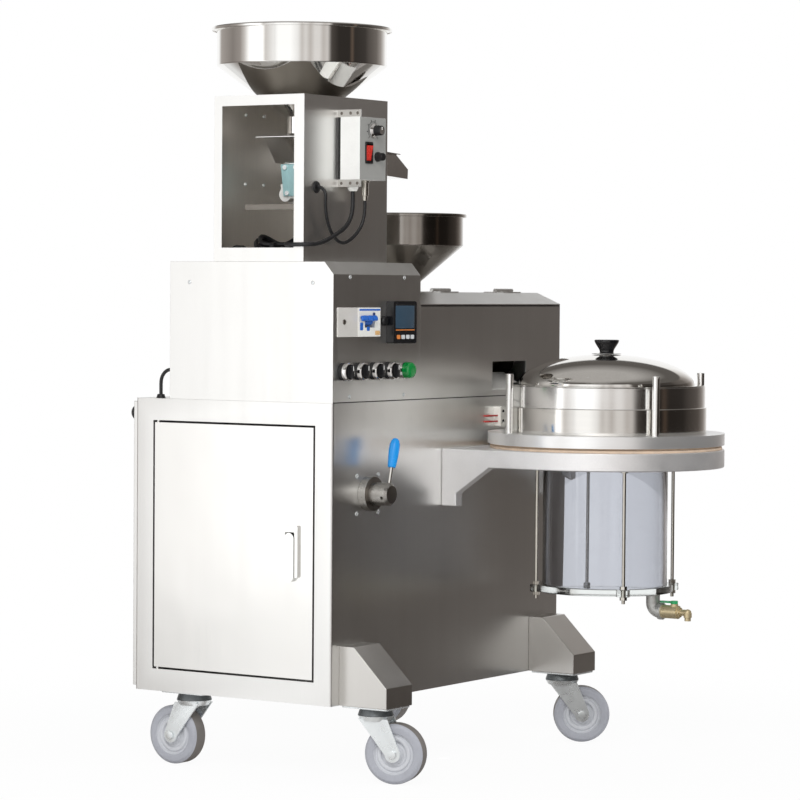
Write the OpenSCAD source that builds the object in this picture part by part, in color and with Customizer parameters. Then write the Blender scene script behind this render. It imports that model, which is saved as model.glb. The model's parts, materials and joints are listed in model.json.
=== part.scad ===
// Screw oil press on a wheeled cabinet, with a vibratory feeder and a vacuum filter.
// Millimetres, +Z up. Sizes are written from the cabinet's front left corner on the floor
// (X right along the front, Y to the rear), and in_frame() centres the whole on its footprint.

/* [Cabinet] */
// Height of the cabinet's underside above the floor
caster_h = 127; // [120:1:135]
// Width of the cabinet, left to right
cab_w = 725; // [700:5:760]
// Depth of the cabinet, front to rear
cab_d = 405; // [395:5:450]
// Height of the cabinet box
cab_h = 496.5; // [480:0.5:540]
// Sheet metal thickness
sheet = 2; // [1.5:0.5:2.5]
// Outside radius of the folded upright edges
bend_r = 4; // [3:0.5:8]
// How far the rear cover stands proud
cover_proud = 10; // [6:1:16]
// Margin round the rear cover
cover_margin = 6; // [4:1:12]

/* [Door] */
// Width of the door
door_w = 327; // [300:1:330]
// Height of the door
door_h = 415; // [380:1:420]
// Distance from the cabinet's front to the door
door_front = 38; // [30:1:50]
// Distance from the cabinet's underside to the door
door_low = 41; // [30:1:50]
// Gap all round the door
door_gap = 3.5; // [3:0.5:5]
// Depth of the door pan
door_depth = 18; // [16:1:24]
// Radius of the door's pivot pins
pivot_r = 2.5; // [2:0.25:2.75]
// Width of the lock case
lock_w = 32; // [28:1:38]
// Height of the lock case
lock_h = 86; // [80:1:100]
// Width of the lock lever
lock_lever_w = 18; // [14:1:20]

/* [Casters] */
// Radius of a caster wheel
wheel_r = 50; // [45:1:50]
// Width of a caster wheel
wheel_w = 32; // [26:1:36]
// Offset of the axle from the swivel axis
caster_trail = 35; // [30:1:38]
// Thickness of a fork cheek
fork_t = 3; // [2.5:0.5:4]
// Radius of an axle
axle_r = 5; // [4:0.5:6]
// Radius of a swivel race
race_r = 30; // [27:1:33]

/* [Outriggers] */
// Width of an outrigger
leg_w = 77; // [74:1:90]
// How far an outrigger stands out of the front
leg_out = 94; // [92:1:110]
// Height of an outrigger at the cabinet
leg_h = 98; // [80:1:120]
// Height of its front face
leg_nose_h = 34; // [26:1:44]
// Depth of its level top
leg_top = 29; // [20:1:40]
// Distance of the outriggers from the cabinet's sides
leg_inset = 23; // [15:1:40]

/* [Lever] */
// Radius of the hub
hub_r = 19; // [17:0.5:24]
// Radius of the bearing flange
lever_flange_r = 28.5; // [26:0.5:34]
// Thickness of the bearing flange
lever_flange_t = 15; // [10:1:18]
// Length of the hub
hub_len = 34; // [28:1:44]
// Radius of the lever rod
rod_r = 2.75; // [2.5:0.25:4]
// Length of the grip
grip_len = 50; // [44:1:60]
// Lean of the lever from upright, degrees
lever_lean = 14; // [0:1:30]

/* [Control box] */
// Width of the control box
box_w = 260; // [258:1:262]
// Depth of the control box and of the press housing
box_d = 334; // [320:2:350]
// Height of the control box
box_h = 231.5; // [228:0.5:250]
// Size of the temperature controller's bezel
ctrl_size = 71; // [68:1:72]
// How far that bezel stands proud
ctrl_proud = 15; // [8:1:18]
// Radius of a panel bezel
bezel_r = 14.5; // [13.5:0.5:16]
// Distance between panel switches
bezel_pitch = 45; // [40:1:46]

/* [Feeder] */
// Width of the tower
tower_w = 246; // [236:2:250]
// Depth of the tower
tower_d = 183; // [178:1:190]
// Height of the tower
tower_h = 275; // [265:5:300]
// Radius of the top hopper's wall
hopper_r = 143; // [130:1:150]
// Height of the top hopper's upright wall
hopper_wall = 64; // [50:1:80]
// Width of the rolled rim
rim_w = 9; // [6:1:10]
// Height of the trough's walls
trough_h = 40; // [36:1:44]
// Radius of the feeder cord
cord_r = 3.5; // [3:0.25:3.75]
// Radius of the vibrator lead
lead_r = 2.75; // [2.25:0.25:3]

/* [Press] */
// Height of the press housing
press_h = 182.5; // [180:0.5:195]
// Radius of the press hopper's wall
feed_hopper_r = 102; // [90:1:105]
// Outer radius of the press barrel
barrel_r = 38; // [34:1:40]
// Radius of the barrel's bore
bore_r = 26; // [22:1:27]
// Radius of the screw's shank
shank_r = 12; // [10:0.5:13]
// Turns of the screw's flight
flight_turns = 5; // [4:1:6]

/* [Filter] */
// Radius of the filter flange and the bracket's nose
flange_r = 205; // [202:1:206]
// Thickness of the cast bracket
bracket_t = 31; // [24:1:36]
// Thickness of the flange
flange_t = 20; // [16:1:24]
// Radius of the barrel's lower band
pot_r = 173.5; // [168:0.5:176]
// Radius of the barrel's upper band
pot_upper_r = 171; // [166:0.5:173]
// Height of the barrel
pot_h = 80.5; // [76:0.5:90]
// Rise of the domed lid
dome_h = 52; // [44:1:60]
// Outer radius of the tank
tank_r = 108; // [104:1:109]
// Wall of the tank
tank_wall = 6; // [4:0.5:8]
// Height of the tank's wall
tank_h = 205; // [190:1:215]
// Radius of a tie rod
tie_r = 3; // [2.5:0.25:3.5]

/* [Hidden] */
$fn = 48;
clr = 0.3;
run_fit = 0.05;
STEEL = "#b9b6b2";
POLISHED = "#d5d5d3";
ZINC = "#e6ebeb";
CAST = "#c9c9c9";
BLACK = "#1c1c1e";
WHITE = "#f2f2ef";

// Main levels and faces
cab_z0 = caster_h;
cab_z1 = cab_z0 + cab_h;
box_z1 = cab_z1 + box_h;
press_z1 = cab_z1 + press_h;
tower_z1 = box_z1 + tower_h;
door_y1 = door_front + door_w;
door_z0 = cab_z0 + door_low;
door_z1 = door_z0 + door_h;
door_frame = door_depth + 4;
pivot_at = [5, door_y1 - 4];
cover_y = cab_d + cover_proud;

// Lock on the door
lock_y = door_front + 43;
lock_z0 = door_z0 + 167;
lock_z1 = lock_z0 + lock_h;
lock_t = 5;
lock_cup_w = lock_lever_w + 8;
lock_cup_h = 36;
lock_cup_d = 14;
lock_pin = [-2.6, lock_z1 - 21];
lock_pin_r = 1.6;
lock_channel = lock_lever_w + 2 * clr;
lever_head = lock_lever_w / 2;
lock_lever_z0 = lock_z0 - 7;

// Casters: swivel axis and heading of each
rear_caster_x = 44;
rear_caster_y = 312;
front_caster_y = -leg_out / 2 - 1;
casters = [
    [leg_inset + leg_w / 2, front_caster_y, -74],
    [cab_w - leg_inset - leg_w / 2, front_caster_y, -56],
    [rear_caster_x, rear_caster_y, 90],
    [cab_w - rear_caster_x, rear_caster_y, 90],
];
plate_t = 3;
plate_size = [72, 90];
king_r = 6;
crown_z = 2 * wheel_r + 3;
crown_t = 8.5;
race_z = crown_z + crown_t + clr;
fork_gap = wheel_w + 4;
axle_boss_r = 13;

// Lever on the cabinet's front
lever_x = 102;
lever_z = cab_z1 - 151.5;
lever_shaft_r = 10;
lever_block = [80, 38, 80];
hub_back = -lever_flange_t - clr;
lever_y = hub_back - hub_len + 8;
rod_in = hub_r / 2;
grip_start = hub_r + 26;

// Control panel
panel_row_z = cab_z1 + 51.5;
bezel_x0 = 27;
lamp_x = bezel_x0 + 4 * bezel_pitch;
bezel_t = 9;
switch_body_r = 11;
switch_stem_r = 4;
knob_t = 5;
ctrl_at = [191, cab_z1 + 132];
breaker_x = [70, 134];
breaker_z = [cab_z1 + 108.5, cab_z1 + 156.5];
breaker_proud = 3;
blank_x = 12;
blank_t = 1.5;
toggle_at = [8, (breaker_z[0] + breaker_z[1]) / 2];
toggle_x = [88, 118];
toggle_r = 7;
toggle_pin_r = 1.5;
plug_x = 146;

// Feeder tower
tower_x = 4;
tower_y = 63;
tower_x1 = tower_x + tower_w;
tower_y1 = tower_y + tower_d;
mid_line = 155;
window_y = [tower_y + 20, tower_y1 - 16];
window_z = [box_z1 + 23, tower_z1 - 17];
shelf_z = tower_z1 - 180;
shelf_lip = 9;
shelf_x = [tower_x + 16, tower_x + 200];
shelf_d = 129;
hopper_x = 127;
cone_slope = 1.37;
hopper_wall_z = tower_z1 + 54;
hopper_z1 = hopper_wall_z + hopper_wall;
hopper_seat_r = hopper_r - (hopper_wall_z - tower_z1) * cone_slope;
throat_r = 27;
throat_z = hopper_wall_z - (hopper_r - throat_r) / cone_slope;
throat_drop = throat_z - tower_z1 + 60;
hopper_rim_r = hopper_r + rim_w;

// Feeder controller on the tower's front
feed_box_x = [102, 176];
feed_box_y = tower_y - 46;
feed_box_z = [tower_z1 - 138, tower_z1 - 34];
feed_plate_t = 2;
dial_at = [138, tower_z1 - 56];
rocker_at = [125, tower_z1 - 93];
fuse_at = [150, tower_z1 - 99];
rocker_size = [18, 30];
rocker_pin_r = 1.5;
gland_at = [113, 40];
gland_len = 19;
connector_at = [146, 38];
connector_len = 34;
grommet_at = [40, tower_z1 - 152];

// Vibrator and trough
spring_x = [104, 194];
spring_t = 3;
spring_w = 40;
spring_foot_z = shelf_z + 16;
spring_lean = 9.4;
spring_screw = [11, 5];
trough_x = 94;
trough_z = tower_z1 - 108.5;
trough_tilt = 3.2;
trough_len = 315;
trough_half = 30;
trough_wall = 1.5;
trough_back = 36;
trough_nose = [41, 17];
trough_lip = 10;
trough_play = 0.8;
trough_gap = 2;
trough_slot_gap = 7;
clamp_h = 18;
clamp_t = 12;

// Press line
press_axis_z = cab_z1 + 76.5;
press_hopper_x = 448;
neck_r = 28;
barrel_x = [300, 690];
pump_at = [400, 190];
inlet_z = press_axis_z + barrel_r + 7;
feed_cone_z = press_z1 + 19;
feed_rim = 6;
feed_wall_z = feed_cone_z + 63;
feed_hopper_z1 = feed_wall_z + 56;
bearing_len = 14;
flight_x = [420, 676];
flight_r = bore_r - 0.5;
gearbox_x = [150, box_w - 4];
gearbox_w = 120;
gearbox_h = 120;
foot_h = press_axis_z - gearbox_h / 2 - cab_z1;
chamfer_y = 48;
chamfer_z = 20;
lid_rear = 68;
lid_hinge_r = 3.5;
lid_pin_r = 1.5;
lid_axis = [lid_rear + clr / 2, press_z1 + lid_hinge_r + 0.1];
lid_hinge_x = [400, 610];
lid_hinge_len = 58;
outlet_x = [494, 607];
outlet_z = [cab_z1 + 11.5, cab_z1 + 61.5];

// Filter
filter_x = 535;
filter_y = -flange_r - 2;
bracket_z1 = cab_z1 - 85;
bracket_z0 = bracket_z1 - bracket_t;
gasket_t = 7.5;
flange_z = bracket_z1 + gasket_t;
pot_z0 = flange_z + flange_t;
pot_z1 = pot_z0 + pot_h;
pot_step_z = pot_z0 + 44.6;
pot_wall = 6;
post_r = 6.5;
post_ring_r = 185;
post_h = 101.5;
post_turn = 56.5;
drain_r = 95;
lid_rim_r = pot_upper_r - 0.5;
lid_rim_h = 2;
lid_sheet = 2;
lid_z0 = pot_z1 + clr;
dome_z0 = lid_z0 + lid_rim_h;
dome_r = lid_rim_r - 18.5;
dome_fullness = 1.95;
dome_steps = 14;
tank_z0 = bracket_z0 - tank_h;
base_t = 12;
base_r = tank_r + 10;
tie_ring_r = tank_r + 14;
ear_r = 11;
tap_x = filter_x + 15;
tap_y = filter_y - tank_r + 20;
tap_z = tank_z0 - base_t - 31;
tap_r = 12;
tap_bend = 14;
stem_y = tap_y - 42;
stem_r = 4.5;
spout_r = 5.5;
spout_tip = 6;

// Terminal block on the front
terminal_x = [500, 536];
terminal_z = [cab_z1 - 52.5, cab_z1 - 17.5];
wire_r = 1.5;
wire_bend = 7;

// Rear fittings
mains_at = [24, cab_z1 - 26];
mains_len = 12;
mains_bore_r = 5;
rear_lead_r = 3;
rear_lead_x = 20;
rear_gland_z = cab_z1 + 48.5;
rear_gland_len = 10;
rear_grommet_y = box_d + 34;
rear_grommet_h = 6.5;

// Footprint: the rim, the flange and the mains gland reach furthest
mid_x = (hopper_x - hopper_rim_r + filter_x + flange_r) / 2;
mid_y = (filter_y - flange_r + cover_y + mains_len) / 2;

// Cord routes, from the fittings that hold them
feeder_route = [
    [113, 40, 973], [113, 40, 960], [112.5, 40, 946], [109, 40, 933], [101, 40, 921], [88, 40, 911],
    [71, 41, 902.5], [53, 43, 894.5], [36, 45.5, 888], [19, 47, 884.5], [5, 50.8, 883.5], [-5, 61, 883],
    [-9, 75, 883], [-5, 89, 883.2], [5, 99.2, 883.4], [19, 103, 883.6], [32, 103, 883.6], [46, 103, 883.6],
    [59, 103, 883.6],
];
vibrator_route = [
    [146, 38, 958], [146, 38, 946], [144.5, 39, 930], [139, 41.5, 914], [128, 44.5, 901], [114, 47, 891.5],
    [99, 48.8, 887], [84, 49.6, 890], [69, 49.8, 900], [57, 49.3, 914], [48, 48, 931], [42, 46, 949],
    [40, 44.3, 963], [40, 45.3, 968.9], [40, 48.4, 973.6], [40, 53.2, 976.9], [40, 58, 978], [40, 60, 978],
];
rear_route = [
    [20, 344, 672], [20, 348, 672], [20, 354, 670.6], [20, 360, 667], [20, 364.6, 661.5], [20, 367.2, 655],
    [20, 368, 648], [20, 368, 640], [20, 368, 630],
];

// Hank: racetrack loops in four layers, drawn in at the waist
hank_at = [65, 148.9];
hank_r = 22;
hank_half = 16;
hank_step = 9.3;
hank_lift = 7.6;
hank_waist = 0.12;
hank_layers = 4;
hank_rings = 24;
hank_start = 0.5;
hank_floor = box_z1 + sheet + clr + cord_r;
hank_lead_r = 28;
hank_turns = 1.5 * hank_layers - 0.65;
plug_axis_z = hank_floor + 9;
plug_face = [hank_at[0] + hank_r + hank_step - hank_lead_r, hank_at[1] + hank_half + 22 + hank_lead_r];
plug_r = 12.5;
plug_len = 26;
relief_len = 11;
relief_gap = 2 * cord_r;
pin_len = 15;

// Moves a shape from the cabinet's corner to the centre of the footprint
module in_frame() {
    translate([-mid_x, -mid_y, 0]) children();
}

// Flat outline with rounded corners, from the origin
module round_rect(w, d, r) {
    translate([r, 0]) square([w - 2 * r, d]);
    translate([0, r]) square([w, d - 2 * r]);
    for (x = [r, w - r], y = [r, d - r]) translate([x, y]) circle(r);
}

// Cylinder along +Y, and along +X
module y_rod(r, len) {
    rotate([-90, 0, 0]) cylinder(r = r, h = len);
}
module x_rod(r, len) {
    rotate([0, 90, 0]) cylinder(r = r, h = len);
}

// Profile in (Y, Z) carried along +X
module along_x(len) {
    rotate([90, 0, 90]) linear_extrude(len) children();
}

// Profile in (X, Z) carried along Y, centred
module along_y(len) {
    rotate([90, 0, 0]) linear_extrude(len, center = true) children();
}

// Profile in (radius, reach) turned about Y, reaching towards -Y
module turned_front() {
    rotate([90, 0, 0]) rotate_extrude() children();
}

// Round tube through a list of points, with square ends
function unit(v) = v / norm(v);
function heading(p, i) = unit(p[min(i + 1, len(p) - 1)] - p[max(i - 1, 0)]);
function square_to(t) = unit(cross(t, abs(t[2]) > 0.9 ? [0, 1, 0] : [0, 0, 1]));
function carried(p, i) =
    i == 0 ? square_to(heading(p, 0))
           : let (t = heading(p, i), n = carried(p, i - 1)) unit(n - (n * t) * t);
function ring(p, i, r, sides) =
    let (t = heading(p, i), n = carried(p, i), b = cross(t, n))
    [for (k = [0 : sides - 1]) p[i] + r * (cos(360 * k / sides) * n + sin(360 * k / sides) * b)];
module tube(p, r, sides) {
    last = len(p) - 1;
    points = [for (i = [0 : last]) each ring(p, i, r, sides)];
    walls = [
        for (i = [0 : last - 1], k = [0 : sides - 1])
            let (a = i * sides + k, b = i * sides + (k + 1) % sides)
            each [[a, a + sides, b], [b, a + sides, b + sides]]
    ];
    near_end = [for (k = [1 : sides - 2]) [0, k, k + 1]];
    far_end = [for (k = [1 : sides - 2]) [last * sides, last * sides + k + 1, last * sides + k]];
    polyhedron(points, concat(walls, near_end, far_end));
}

module cabinet_shell() color(STEEL) in_frame() {
    frame_y = door_front - door_gap;
    frame_z = door_z0 - door_gap;
    open_w = door_w + 2 * door_gap;
    open_h = door_h + 2 * door_gap;
    rear_margin = 6 * cover_margin;
    difference() {
        union() {
            difference() {
                translate([0, 0, cab_z0]) linear_extrude(cab_h) round_rect(cab_w, cab_d, bend_r);
                translate([sheet, sheet, cab_z0 + sheet]) linear_extrude(cab_h - 2 * sheet)
                    round_rect(cab_w - 2 * sheet, cab_d - 2 * sheet, bend_r - sheet / 2);
            }
            translate([0, frame_y - sheet, frame_z - sheet])
                cube([door_frame, open_w + 2 * sheet, open_h + 2 * sheet]);
        }
        translate([-1, frame_y, frame_z]) cube([door_frame + 2, open_w, open_h]);
        translate([rear_margin, cab_d - 2 * sheet, cab_z0 + rear_margin])
            cube([cab_w - 2 * rear_margin, 3 * sheet, cab_h - 2 * rear_margin]);
        translate([lever_x, -1, lever_z]) y_rod(lever_shaft_r + clr, sheet + 2);
        translate([rear_lead_x, rear_grommet_y, cab_z1 - 2 * sheet])
            cylinder(r = rear_lead_r + clr, h = 3 * sheet);
    }
    translate([pivot_at[0], pivot_at[1], door_z1 - sheet]) cylinder(r = pivot_r, h = sheet + door_gap + 1);
    translate([pivot_at[0], pivot_at[1], frame_z - 1]) cylinder(r = pivot_r, h = sheet + door_gap + 1);
}

module rear_cover() color(STEEL) in_frame() {
    w = cab_w - 2 * cover_margin;
    h = cab_h - 2 * cover_margin;
    slot = [70, 5];
    translate([cover_margin, cab_d, cab_z0 + cover_margin]) difference() {
        cube([w, cover_proud, h]);
        translate([sheet, -1, sheet]) cube([w - 2 * sheet, cover_proud + 1 - sheet, h - 2 * sheet]);
        for (column = [0.3, 0.7], row = [0 : 7])
            translate([w * column - slot[0] / 2, 0, h / 2 - 60 + 15 * row])
                cube([slot[0], cover_proud + 1, slot[1]]);
        translate([mains_at[0] - cover_margin, 0, mains_at[1] - cab_z0 - cover_margin])
            y_rod(mains_bore_r + 3, cover_proud + 1);
    }
}

module front_outriggers() color(STEEL) in_frame() {
    wall = sheet + 1;
    for (x = [leg_inset, cab_w - leg_inset - leg_w]) difference() {
        translate([x, 0, cab_z0]) along_x(leg_w)
            polygon([[0, 0], [0, leg_h], [-leg_top, leg_h], [-leg_out, leg_nose_h], [-leg_out, 0]]);
        translate([x + wall, 0, cab_z0 + wall]) along_x(leg_w - 2 * wall)
            polygon([
                [1, 0], [1, leg_h - 2 * wall], [-leg_top + wall / 2, leg_h - 2 * wall],
                [-leg_out + wall, leg_nose_h - 2 * wall], [-leg_out + wall, 0],
            ]);
    }
}

module caster_plates() color(ZINC) in_frame() {
    for (c = casters) translate([c[0], c[1], 0]) {
        translate([-plate_size[0] / 2, -plate_size[1] / 2, cab_z0 - plate_t])
            linear_extrude(plate_t) round_rect(plate_size[0], plate_size[1], 6);
        translate([0, 0, race_z]) cylinder(r1 = race_r, r2 = race_r - 4, h = cab_z0 - plate_t - race_z);
        translate([0, 0, crown_z - 4]) cylinder(r = king_r, h = cab_z0 - plate_t - crown_z + 4);
        translate([0, 0, crown_z - 5]) cylinder(r = king_r + 2, h = 5 - clr);
    }
}

// Fork of one caster: dished crown, two tapered cheeks and the axle
module caster_fork(c) color(ZINC) in_frame() translate([c[0], c[1], 0]) rotate(c[2]) {
    difference() {
        union() {
            translate([0, 0, crown_z]) cylinder(r1 = race_r - 5, r2 = race_r, h = crown_t);
            for (s = [-1, 1]) translate([0, s * (fork_gap + fork_t) / 2, 0]) along_y(fork_t) {
                polygon([
                    [-race_r + 6, crown_z + crown_t / 2], [race_r - 4, crown_z + crown_t / 2],
                    [caster_trail + axle_boss_r, wheel_r + 3], [caster_trail, wheel_r - 4],
                    [caster_trail - axle_boss_r + 2, wheel_r - 4],
                ]);
                translate([caster_trail, wheel_r]) circle(axle_boss_r);
            }
        }
        translate([0, 0, crown_z - 1]) cylinder(r = king_r + run_fit, h = crown_t + 2);
    }
    translate([caster_trail, -fork_gap / 2 - fork_t - 2, wheel_r]) y_rod(axle_r, fork_gap + 2 * fork_t + 4);
}

// Wheel of one caster: moulded core with stepped hub, and a rounded tread
module caster_wheel(c) color("#9b99a8") in_frame() translate([c[0], c[1], 0]) rotate(c[2])
    translate([caster_trail, 0, wheel_r]) rotate([90, 0, 0]) {
        half = wheel_w / 2;
        edge = 4;
        bore = axle_r + run_fit;
        rotate_extrude() difference() {
            union() {
                translate([bore, -half]) square([wheel_r - edge - bore, wheel_w]);
                translate([bore, -half + edge]) square([wheel_r - bore, wheel_w - 2 * edge]);
                for (y = [-half + edge, half - edge]) translate([wheel_r - edge, y]) circle(edge);
            }
            for (s = [-1, 1]) translate([axle_boss_r + 3, s * half - 4])
                square([wheel_r - axle_boss_r - 19, 8]);
            for (s = [-1, 1]) translate([axle_boss_r + 3, s * half - 8]) square([6, 16]);
        }
    }

module cabinet_door() color(POLISHED) in_frame() {
    difference() {
        translate([0, door_front, door_z0]) cube([door_depth, door_w, door_h]);
        translate([sheet, door_front + sheet, door_z0 + sheet])
            cube([door_depth, door_w - 2 * sheet, door_h - 2 * sheet]);
        translate([pivot_at[0], pivot_at[1], door_z0 - 1]) cylinder(r = pivot_r + run_fit, h = sheet + 2);
        translate([pivot_at[0], pivot_at[1], door_z1 - sheet - 1])
            cylinder(r = pivot_r + run_fit, h = sheet + 2);
        translate([-1, lock_y - lock_cup_w / 2 - clr, lock_z1 - lock_cup_h - clr])
            cube([sheet + 2, lock_cup_w + 2 * clr, lock_cup_h - 4 + 2 * clr]);
    }
}

// Lock on the door: an open channel for the lever and a cup behind its head
module door_lock_case() color(ZINC) in_frame() difference() {
    union() {
        translate([-lock_t, lock_y - lock_w / 2, lock_z0]) along_x(lock_t) round_rect(lock_w, lock_h, 3);
        translate([0, lock_y - lock_cup_w / 2, lock_z1 - lock_cup_h])
            cube([lock_cup_d, lock_cup_w, lock_cup_h - 4]);
    }
    translate([-lock_t - 1, lock_y - lock_channel / 2, lock_z0 - 1])
        cube([lock_t + 1, lock_channel, lock_h - 21 + lever_head + 2]);
    translate([-lock_t - 1, lock_y - lock_channel / 2, lock_z1 - lock_cup_h + 2])
        cube([lock_t + lock_cup_d - 1, lock_channel, lock_cup_h - 21 + lever_head - 1]);
    translate([lock_pin[0], lock_y - lock_channel / 2 - 4, lock_pin[1]])
        y_rod(lock_pin_r + run_fit, lock_channel + 8);
}

module door_lock_lever() color(ZINC) in_frame() {
    thick = 6.4;
    translate([-thick - 2 * clr, lock_y, 0]) along_x(thick) {
        translate([0, lock_pin[1]]) circle(lever_head);
        translate([-lever_head, lock_lever_z0 + lever_head])
            square([lock_lever_w, lock_pin[1] - lock_lever_z0 - lever_head]);
        translate([0, lock_lever_z0 + lever_head]) circle(lever_head);
    }
    translate([lock_pin[0], lock_y - lock_channel / 2 - 3, lock_pin[1]])
        y_rod(lock_pin_r, lock_channel + 6);
}

module lever_bearing() color(STEEL) in_frame() translate([lever_x, 0, lever_z]) {
    difference() {
        translate([0, -lever_flange_t, 0]) y_rod(lever_flange_r, lever_flange_t);
        translate([0, -lever_flange_t - 1, 0]) y_rod(lever_shaft_r + run_fit, lever_flange_t + 2);
    }
    difference() {
        translate([-lever_block[0] / 2, sheet, -lever_block[2] / 2]) cube(lever_block);
        translate([0, sheet - 1, 0]) y_rod(lever_shaft_r + run_fit, lever_block[1] + 2);
    }
}

module lever_hub() color(POLISHED) in_frame() translate([lever_x, 0, lever_z]) {
    nose = 4;
    difference() {
        translate([0, hub_back, 0]) turned_front()
            polygon([[0, 0], [hub_r, 0], [hub_r, hub_len - nose], [hub_r - nose, hub_len], [0, hub_len]]);
        for (k = [0 : 2]) translate([0, lever_y, 0]) rotate([0, lever_lean + 120 * k, 0])
            translate([0, 0, rod_in]) cylinder(r = rod_r + run_fit, h = hub_r);
    }
    translate([0, hub_back, 0]) y_rod(lever_shaft_r, -hub_back + sheet + lever_block[1] - 2);
}

module lever_grip() color("#159be8") in_frame()
    translate([lever_x, lever_y, lever_z]) rotate([0, lever_lean, 0]) {
        tip_r = 9.2;
        translate([0, 0, rod_in]) cylinder(r = rod_r, h = grip_start - rod_in + 1);
        translate([0, 0, grip_start]) cylinder(r1 = 6.5, r2 = tip_r, h = grip_len - tip_r);
        translate([0, 0, grip_start + grip_len - tip_r]) sphere(tip_r);
    }

module control_box() color(STEEL) in_frame() {
    slope = [18, 20.5];
    ctrl_hole = ctrl_size - 4;
    difference() {
        translate([0, 0, cab_z1]) along_x(box_w) polygon([
            [0, 0], [box_d, 0], [box_d, box_h], [slope[0], box_h], [0, box_h - slope[1]],
        ]);
        translate([sheet, 0, cab_z1]) along_x(box_w - 2 * sheet) polygon([
            [sheet, -1], [box_d - sheet, -1], [box_d - sheet, box_h - sheet],
            [slope[0] + sheet / 2, box_h - sheet], [sheet, box_h - slope[1] - sheet / 2],
        ]);
        translate([breaker_x[0] + 1, -1, breaker_z[0] + 1])
            cube([breaker_x[1] - breaker_x[0] - 2, sheet + 2, breaker_z[1] - breaker_z[0] - 2]);
        translate([ctrl_at[0] - ctrl_hole / 2, -1, ctrl_at[1] - ctrl_hole / 2])
            cube([ctrl_hole, sheet + 2, ctrl_hole]);
        for (k = [0 : 4]) translate([bezel_x0 + bezel_pitch * k, -1, panel_row_z])
            y_rod(switch_body_r, sheet + 2);
        translate([box_w - 2 * sheet, mid_line, press_axis_z]) x_rod(shank_r + 2, 3 * sheet);
        translate([rear_lead_x, box_d - 2 * sheet, rear_gland_z]) y_rod(rear_lead_r + clr, 3 * sheet);
    }
    translate([blank_x, -blank_t, breaker_z[0]])
        cube([breaker_x[0] - clr - blank_x, blank_t + sheet / 2, breaker_z[1] - breaker_z[0]]);
}

module breaker_case() color(WHITE) in_frame() {
    w = breaker_x[1] - breaker_x[0];
    h = breaker_z[1] - breaker_z[0];
    pocket_h = 2 * toggle_r + 4;
    difference() {
        union() {
            translate([breaker_x[0], -breaker_proud, breaker_z[0]]) cube([w, breaker_proud, h]);
            translate([breaker_x[0] + 1 + clr, 0, breaker_z[0] + 1 + clr])
                cube([w - 2 - 2 * clr, 60, h - 2 - 2 * clr]);
        }
        translate([toggle_x[0], -breaker_proud - 1, toggle_at[1] - pocket_h / 2])
            cube([toggle_x[1] - toggle_x[0], toggle_at[0] + toggle_r + breaker_proud + 3, pocket_h]);
        translate([toggle_x[0] - 4, toggle_at[0], toggle_at[1]])
            x_rod(toggle_pin_r + run_fit, toggle_x[1] - toggle_x[0] + 8);
    }
}

module breaker_toggle() color("#2467c4") in_frame() {
    len = toggle_x[1] - toggle_x[0] - 2 * clr;
    arm = [9, 3.6];
    arm_out = 19;
    translate([toggle_x[0] + clr, toggle_at[0], toggle_at[1]]) {
        x_rod(toggle_r, len);
        translate([-3, 0, 0]) x_rod(toggle_pin_r, len + 6);
        rotate([-20, 0, 0]) {
            for (x = [4, len - 4 - arm[0]]) translate([x, -arm_out, -arm[1] / 2])
                cube([arm[0], arm_out, arm[1]]);
            translate([0, -arm_out - 4, -arm[1]]) cube([len, 5, 2 * arm[1]]);
        }
    }
}

module temp_controller() color(BLACK) in_frame() translate([ctrl_at[0], 0, ctrl_at[1]]) {
    half = ctrl_size / 2;
    body = ctrl_size - 4 - 2 * clr;
    difference() {
        union() {
            translate([0, -ctrl_proud / 2, 0]) along_y(ctrl_proud)
                translate([-half, -half]) round_rect(ctrl_size, ctrl_size, 4);
            translate([-body / 2, 0, -body / 2]) cube([body, 75, body]);
        }
        translate([-half + 6, -ctrl_proud - 1, -half + 24]) cube([ctrl_size - 12, 2, ctrl_size - 30]);
    }
}

module selector_bezels() color(BLACK) in_frame() {
    lip = 2;
    for (k = [0 : 3]) translate([bezel_x0 + bezel_pitch * k, 0, panel_row_z]) difference() {
        union() {
            turned_front()
                polygon([
                    [0, 0], [bezel_r, 0], [bezel_r, bezel_t - lip], [bezel_r - lip, bezel_t], [0, bezel_t],
                ]);
            y_rod(switch_body_r - clr, 45);
        }
        translate([0, -bezel_t - 1, 0]) y_rod(switch_stem_r + run_fit, bezel_t + 21);
    }
    translate([plug_x, 0, cab_z1 + 134.5]) turned_front() polygon([[0, 0], [8, 0], [8, 4], [6, 7], [0, 7]]);
}

// One selector knob: round skirt, finger bar and stem
module selector_knob(k) color(BLACK) in_frame()
    translate([bezel_x0 + bezel_pitch * k, -bezel_t - clr, panel_row_z]) {
        skirt_r = bezel_r - 3;
        bar = [6, 8];
        turned_front() polygon([[0, 0], [skirt_r, 0], [skirt_r - 1, knob_t], [0, knob_t]]);
        intersection() {
            translate([-bar[0] / 2, -knob_t - bar[1], -skirt_r]) cube([bar[0], bar[1] + 1, 2 * skirt_r]);
            translate([0, -knob_t - bar[1] - 1, 0]) y_rod(skirt_r - 1, bar[1] + 2);
        }
        y_rod(switch_stem_r, bezel_t + 15);
    }

module pilot_lamp() color("#0c8a3c") in_frame() translate([lamp_x, 0, panel_row_z]) {
    lens_r = bezel_r - 2.5;
    turned_front() polygon([
        [0, 0], [bezel_r, 0], [bezel_r, 5], [bezel_r - 2, 7], [lens_r, 7],
        [lens_r, 16], [lens_r - 3, 20], [lens_r - 7, 22], [0, 22],
    ]);
    y_rod(switch_body_r - clr, 45);
}

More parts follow.
